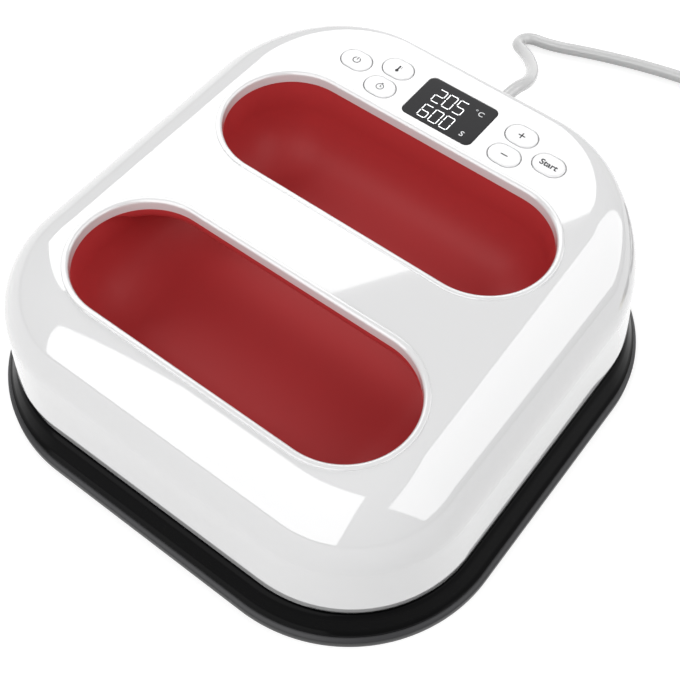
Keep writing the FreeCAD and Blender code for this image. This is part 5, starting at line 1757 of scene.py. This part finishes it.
@dataclass
class Studio:
    """Camera, floor, world and lamps."""

    azimuth: float = 0.631123056
    elevation: float = 0.987121997
    roll: float = 0.0257172200
    distance: float = 0.532085
    target: tuple[float, float, float] = (0.0183500, -0.0139164, 0.0381)
    focal_px: float = 1203.45018
    frame_px: float = 680.0
    sensor: float = 36.0
    ambient: float = 0.07
    floor_half: float = 6.0
    floor_drop: float = 0.0002
    floor_colour: Colour = (0.40, 0.40, 0.40)
    seen_colour: Colour = (0.50, 0.50, 0.50)
    shadow_lift: float = 0.68

    def camera(self) -> None:
        """Puts the camera where the photograph was taken from."""
        data = bpy.data.cameras.new("camera")
        data.sensor_width = self.sensor
        data.lens = self.sensor * self.focal_px / self.frame_px
        data.clip_start, data.clip_end = 0.01, 50.0
        camera = bpy.data.objects.new("camera", data)
        level = math.cos(self.elevation)
        x, y = math.sin(self.azimuth) * level, -math.cos(self.azimuth) * level
        back = Vector((x, y, math.sin(self.elevation)))
        camera.location = Vector(self.target) + back * self.distance
        camera.rotation_mode = "QUATERNION"
        roll = Matrix.Rotation(self.roll, 3, "Z").to_quaternion()
        camera.rotation_quaternion = (-back).to_track_quat("-Z", "Y") @ roll
        bpy.context.scene.collection.objects.link(camera)
        bpy.context.scene.camera = camera

    def floor(self) -> None:
        """Lays the pale floor."""
        mesh = bpy.data.meshes.new("floor")
        shape = bmesh.new()
        bmesh.ops.create_grid(shape, x_segments=1, y_segments=1, size=self.floor_half)
        bmesh.ops.translate(shape, vec=(0, 0, -self.floor_drop), verts=shape.verts[:])
        shape.to_mesh(mesh)
        shape.free()
        tree = Tree.of_material("floor_white")
        plain = tree.add("ShaderNodeBsdfDiffuse", {}, {"Color": self.floor_colour})[0]
        bright = tree.add("ShaderNodeBsdfDiffuse", {}, {"Color": self.seen_colour})[0]
        glow = {"Color": WHITE, "Strength": self.shadow_lift}
        lift = tree.add("ShaderNodeEmission", {}, glow)[0]
        white = tree.add("ShaderNodeAddShader", {}, {0: bright, 1: lift})[0]
        tree.close(tree.add("ShaderNodeMixShader", {}, {0: tree.seen(), 1: plain, 2: white})[0])
        mesh.materials.append(tree.owner)
        floor = bpy.data.objects.new("floor", mesh)
        bpy.context.scene.collection.objects.link(floor)

    def world(self) -> None:
        """Gives an even pale light, white where it is seen."""
        world = bpy.data.worlds.new("studio")
        bpy.context.scene.world = world
        tree = Tree(world, "ShaderNodeOutputWorld")
        light, white = [
            tree.add("ShaderNodeBackground", {}, {"Color": WHITE, "Strength": strength})[0]
            for strength in (self.ambient, 1.0)
        ]
        tree.close(tree.add("ShaderNodeMixShader", {}, {0: tree.seen(), 1: light, 2: white})[0])

    def lamps(self) -> None:
        """Hangs the softboxes."""
        for lamp in (
            Softbox("rear_softbox", (-0.642, 0.417, 0.643), (-0.80, 0.62), (-0.42, 0.42), 2.1),
            Softbox("front_softbox", (0.0, -0.906, 0.423), (-0.84, 0.76), (-0.60, 1.45), 1.85),
            Softbox("side_softbox", (0.711, 0.444, 0.545), (-1.10, 0.86), (-0.62, 0.60), 1.5),
        ):
            lamp.build()

    def build(self) -> None:
        """Makes the studio."""
        bpy.context.scene.view_settings.view_transform = "Standard"
        self.camera()
        self.floor()
        self.world()
        self.lamps()


def main() -> None:
    """Builds the press and its studio in order."""
    logging.basicConfig(level=logging.INFO, format="%(name)s: %(message)s")
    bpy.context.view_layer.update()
    plan = Plan()
    panel = Panel(plan)
    Studio().build()
    Lead().build()
    Housing(plan, panel).build()
    Base(plan).build()
    panel.build()
    Inside().build()


if __name__ == "__main__":
    main()
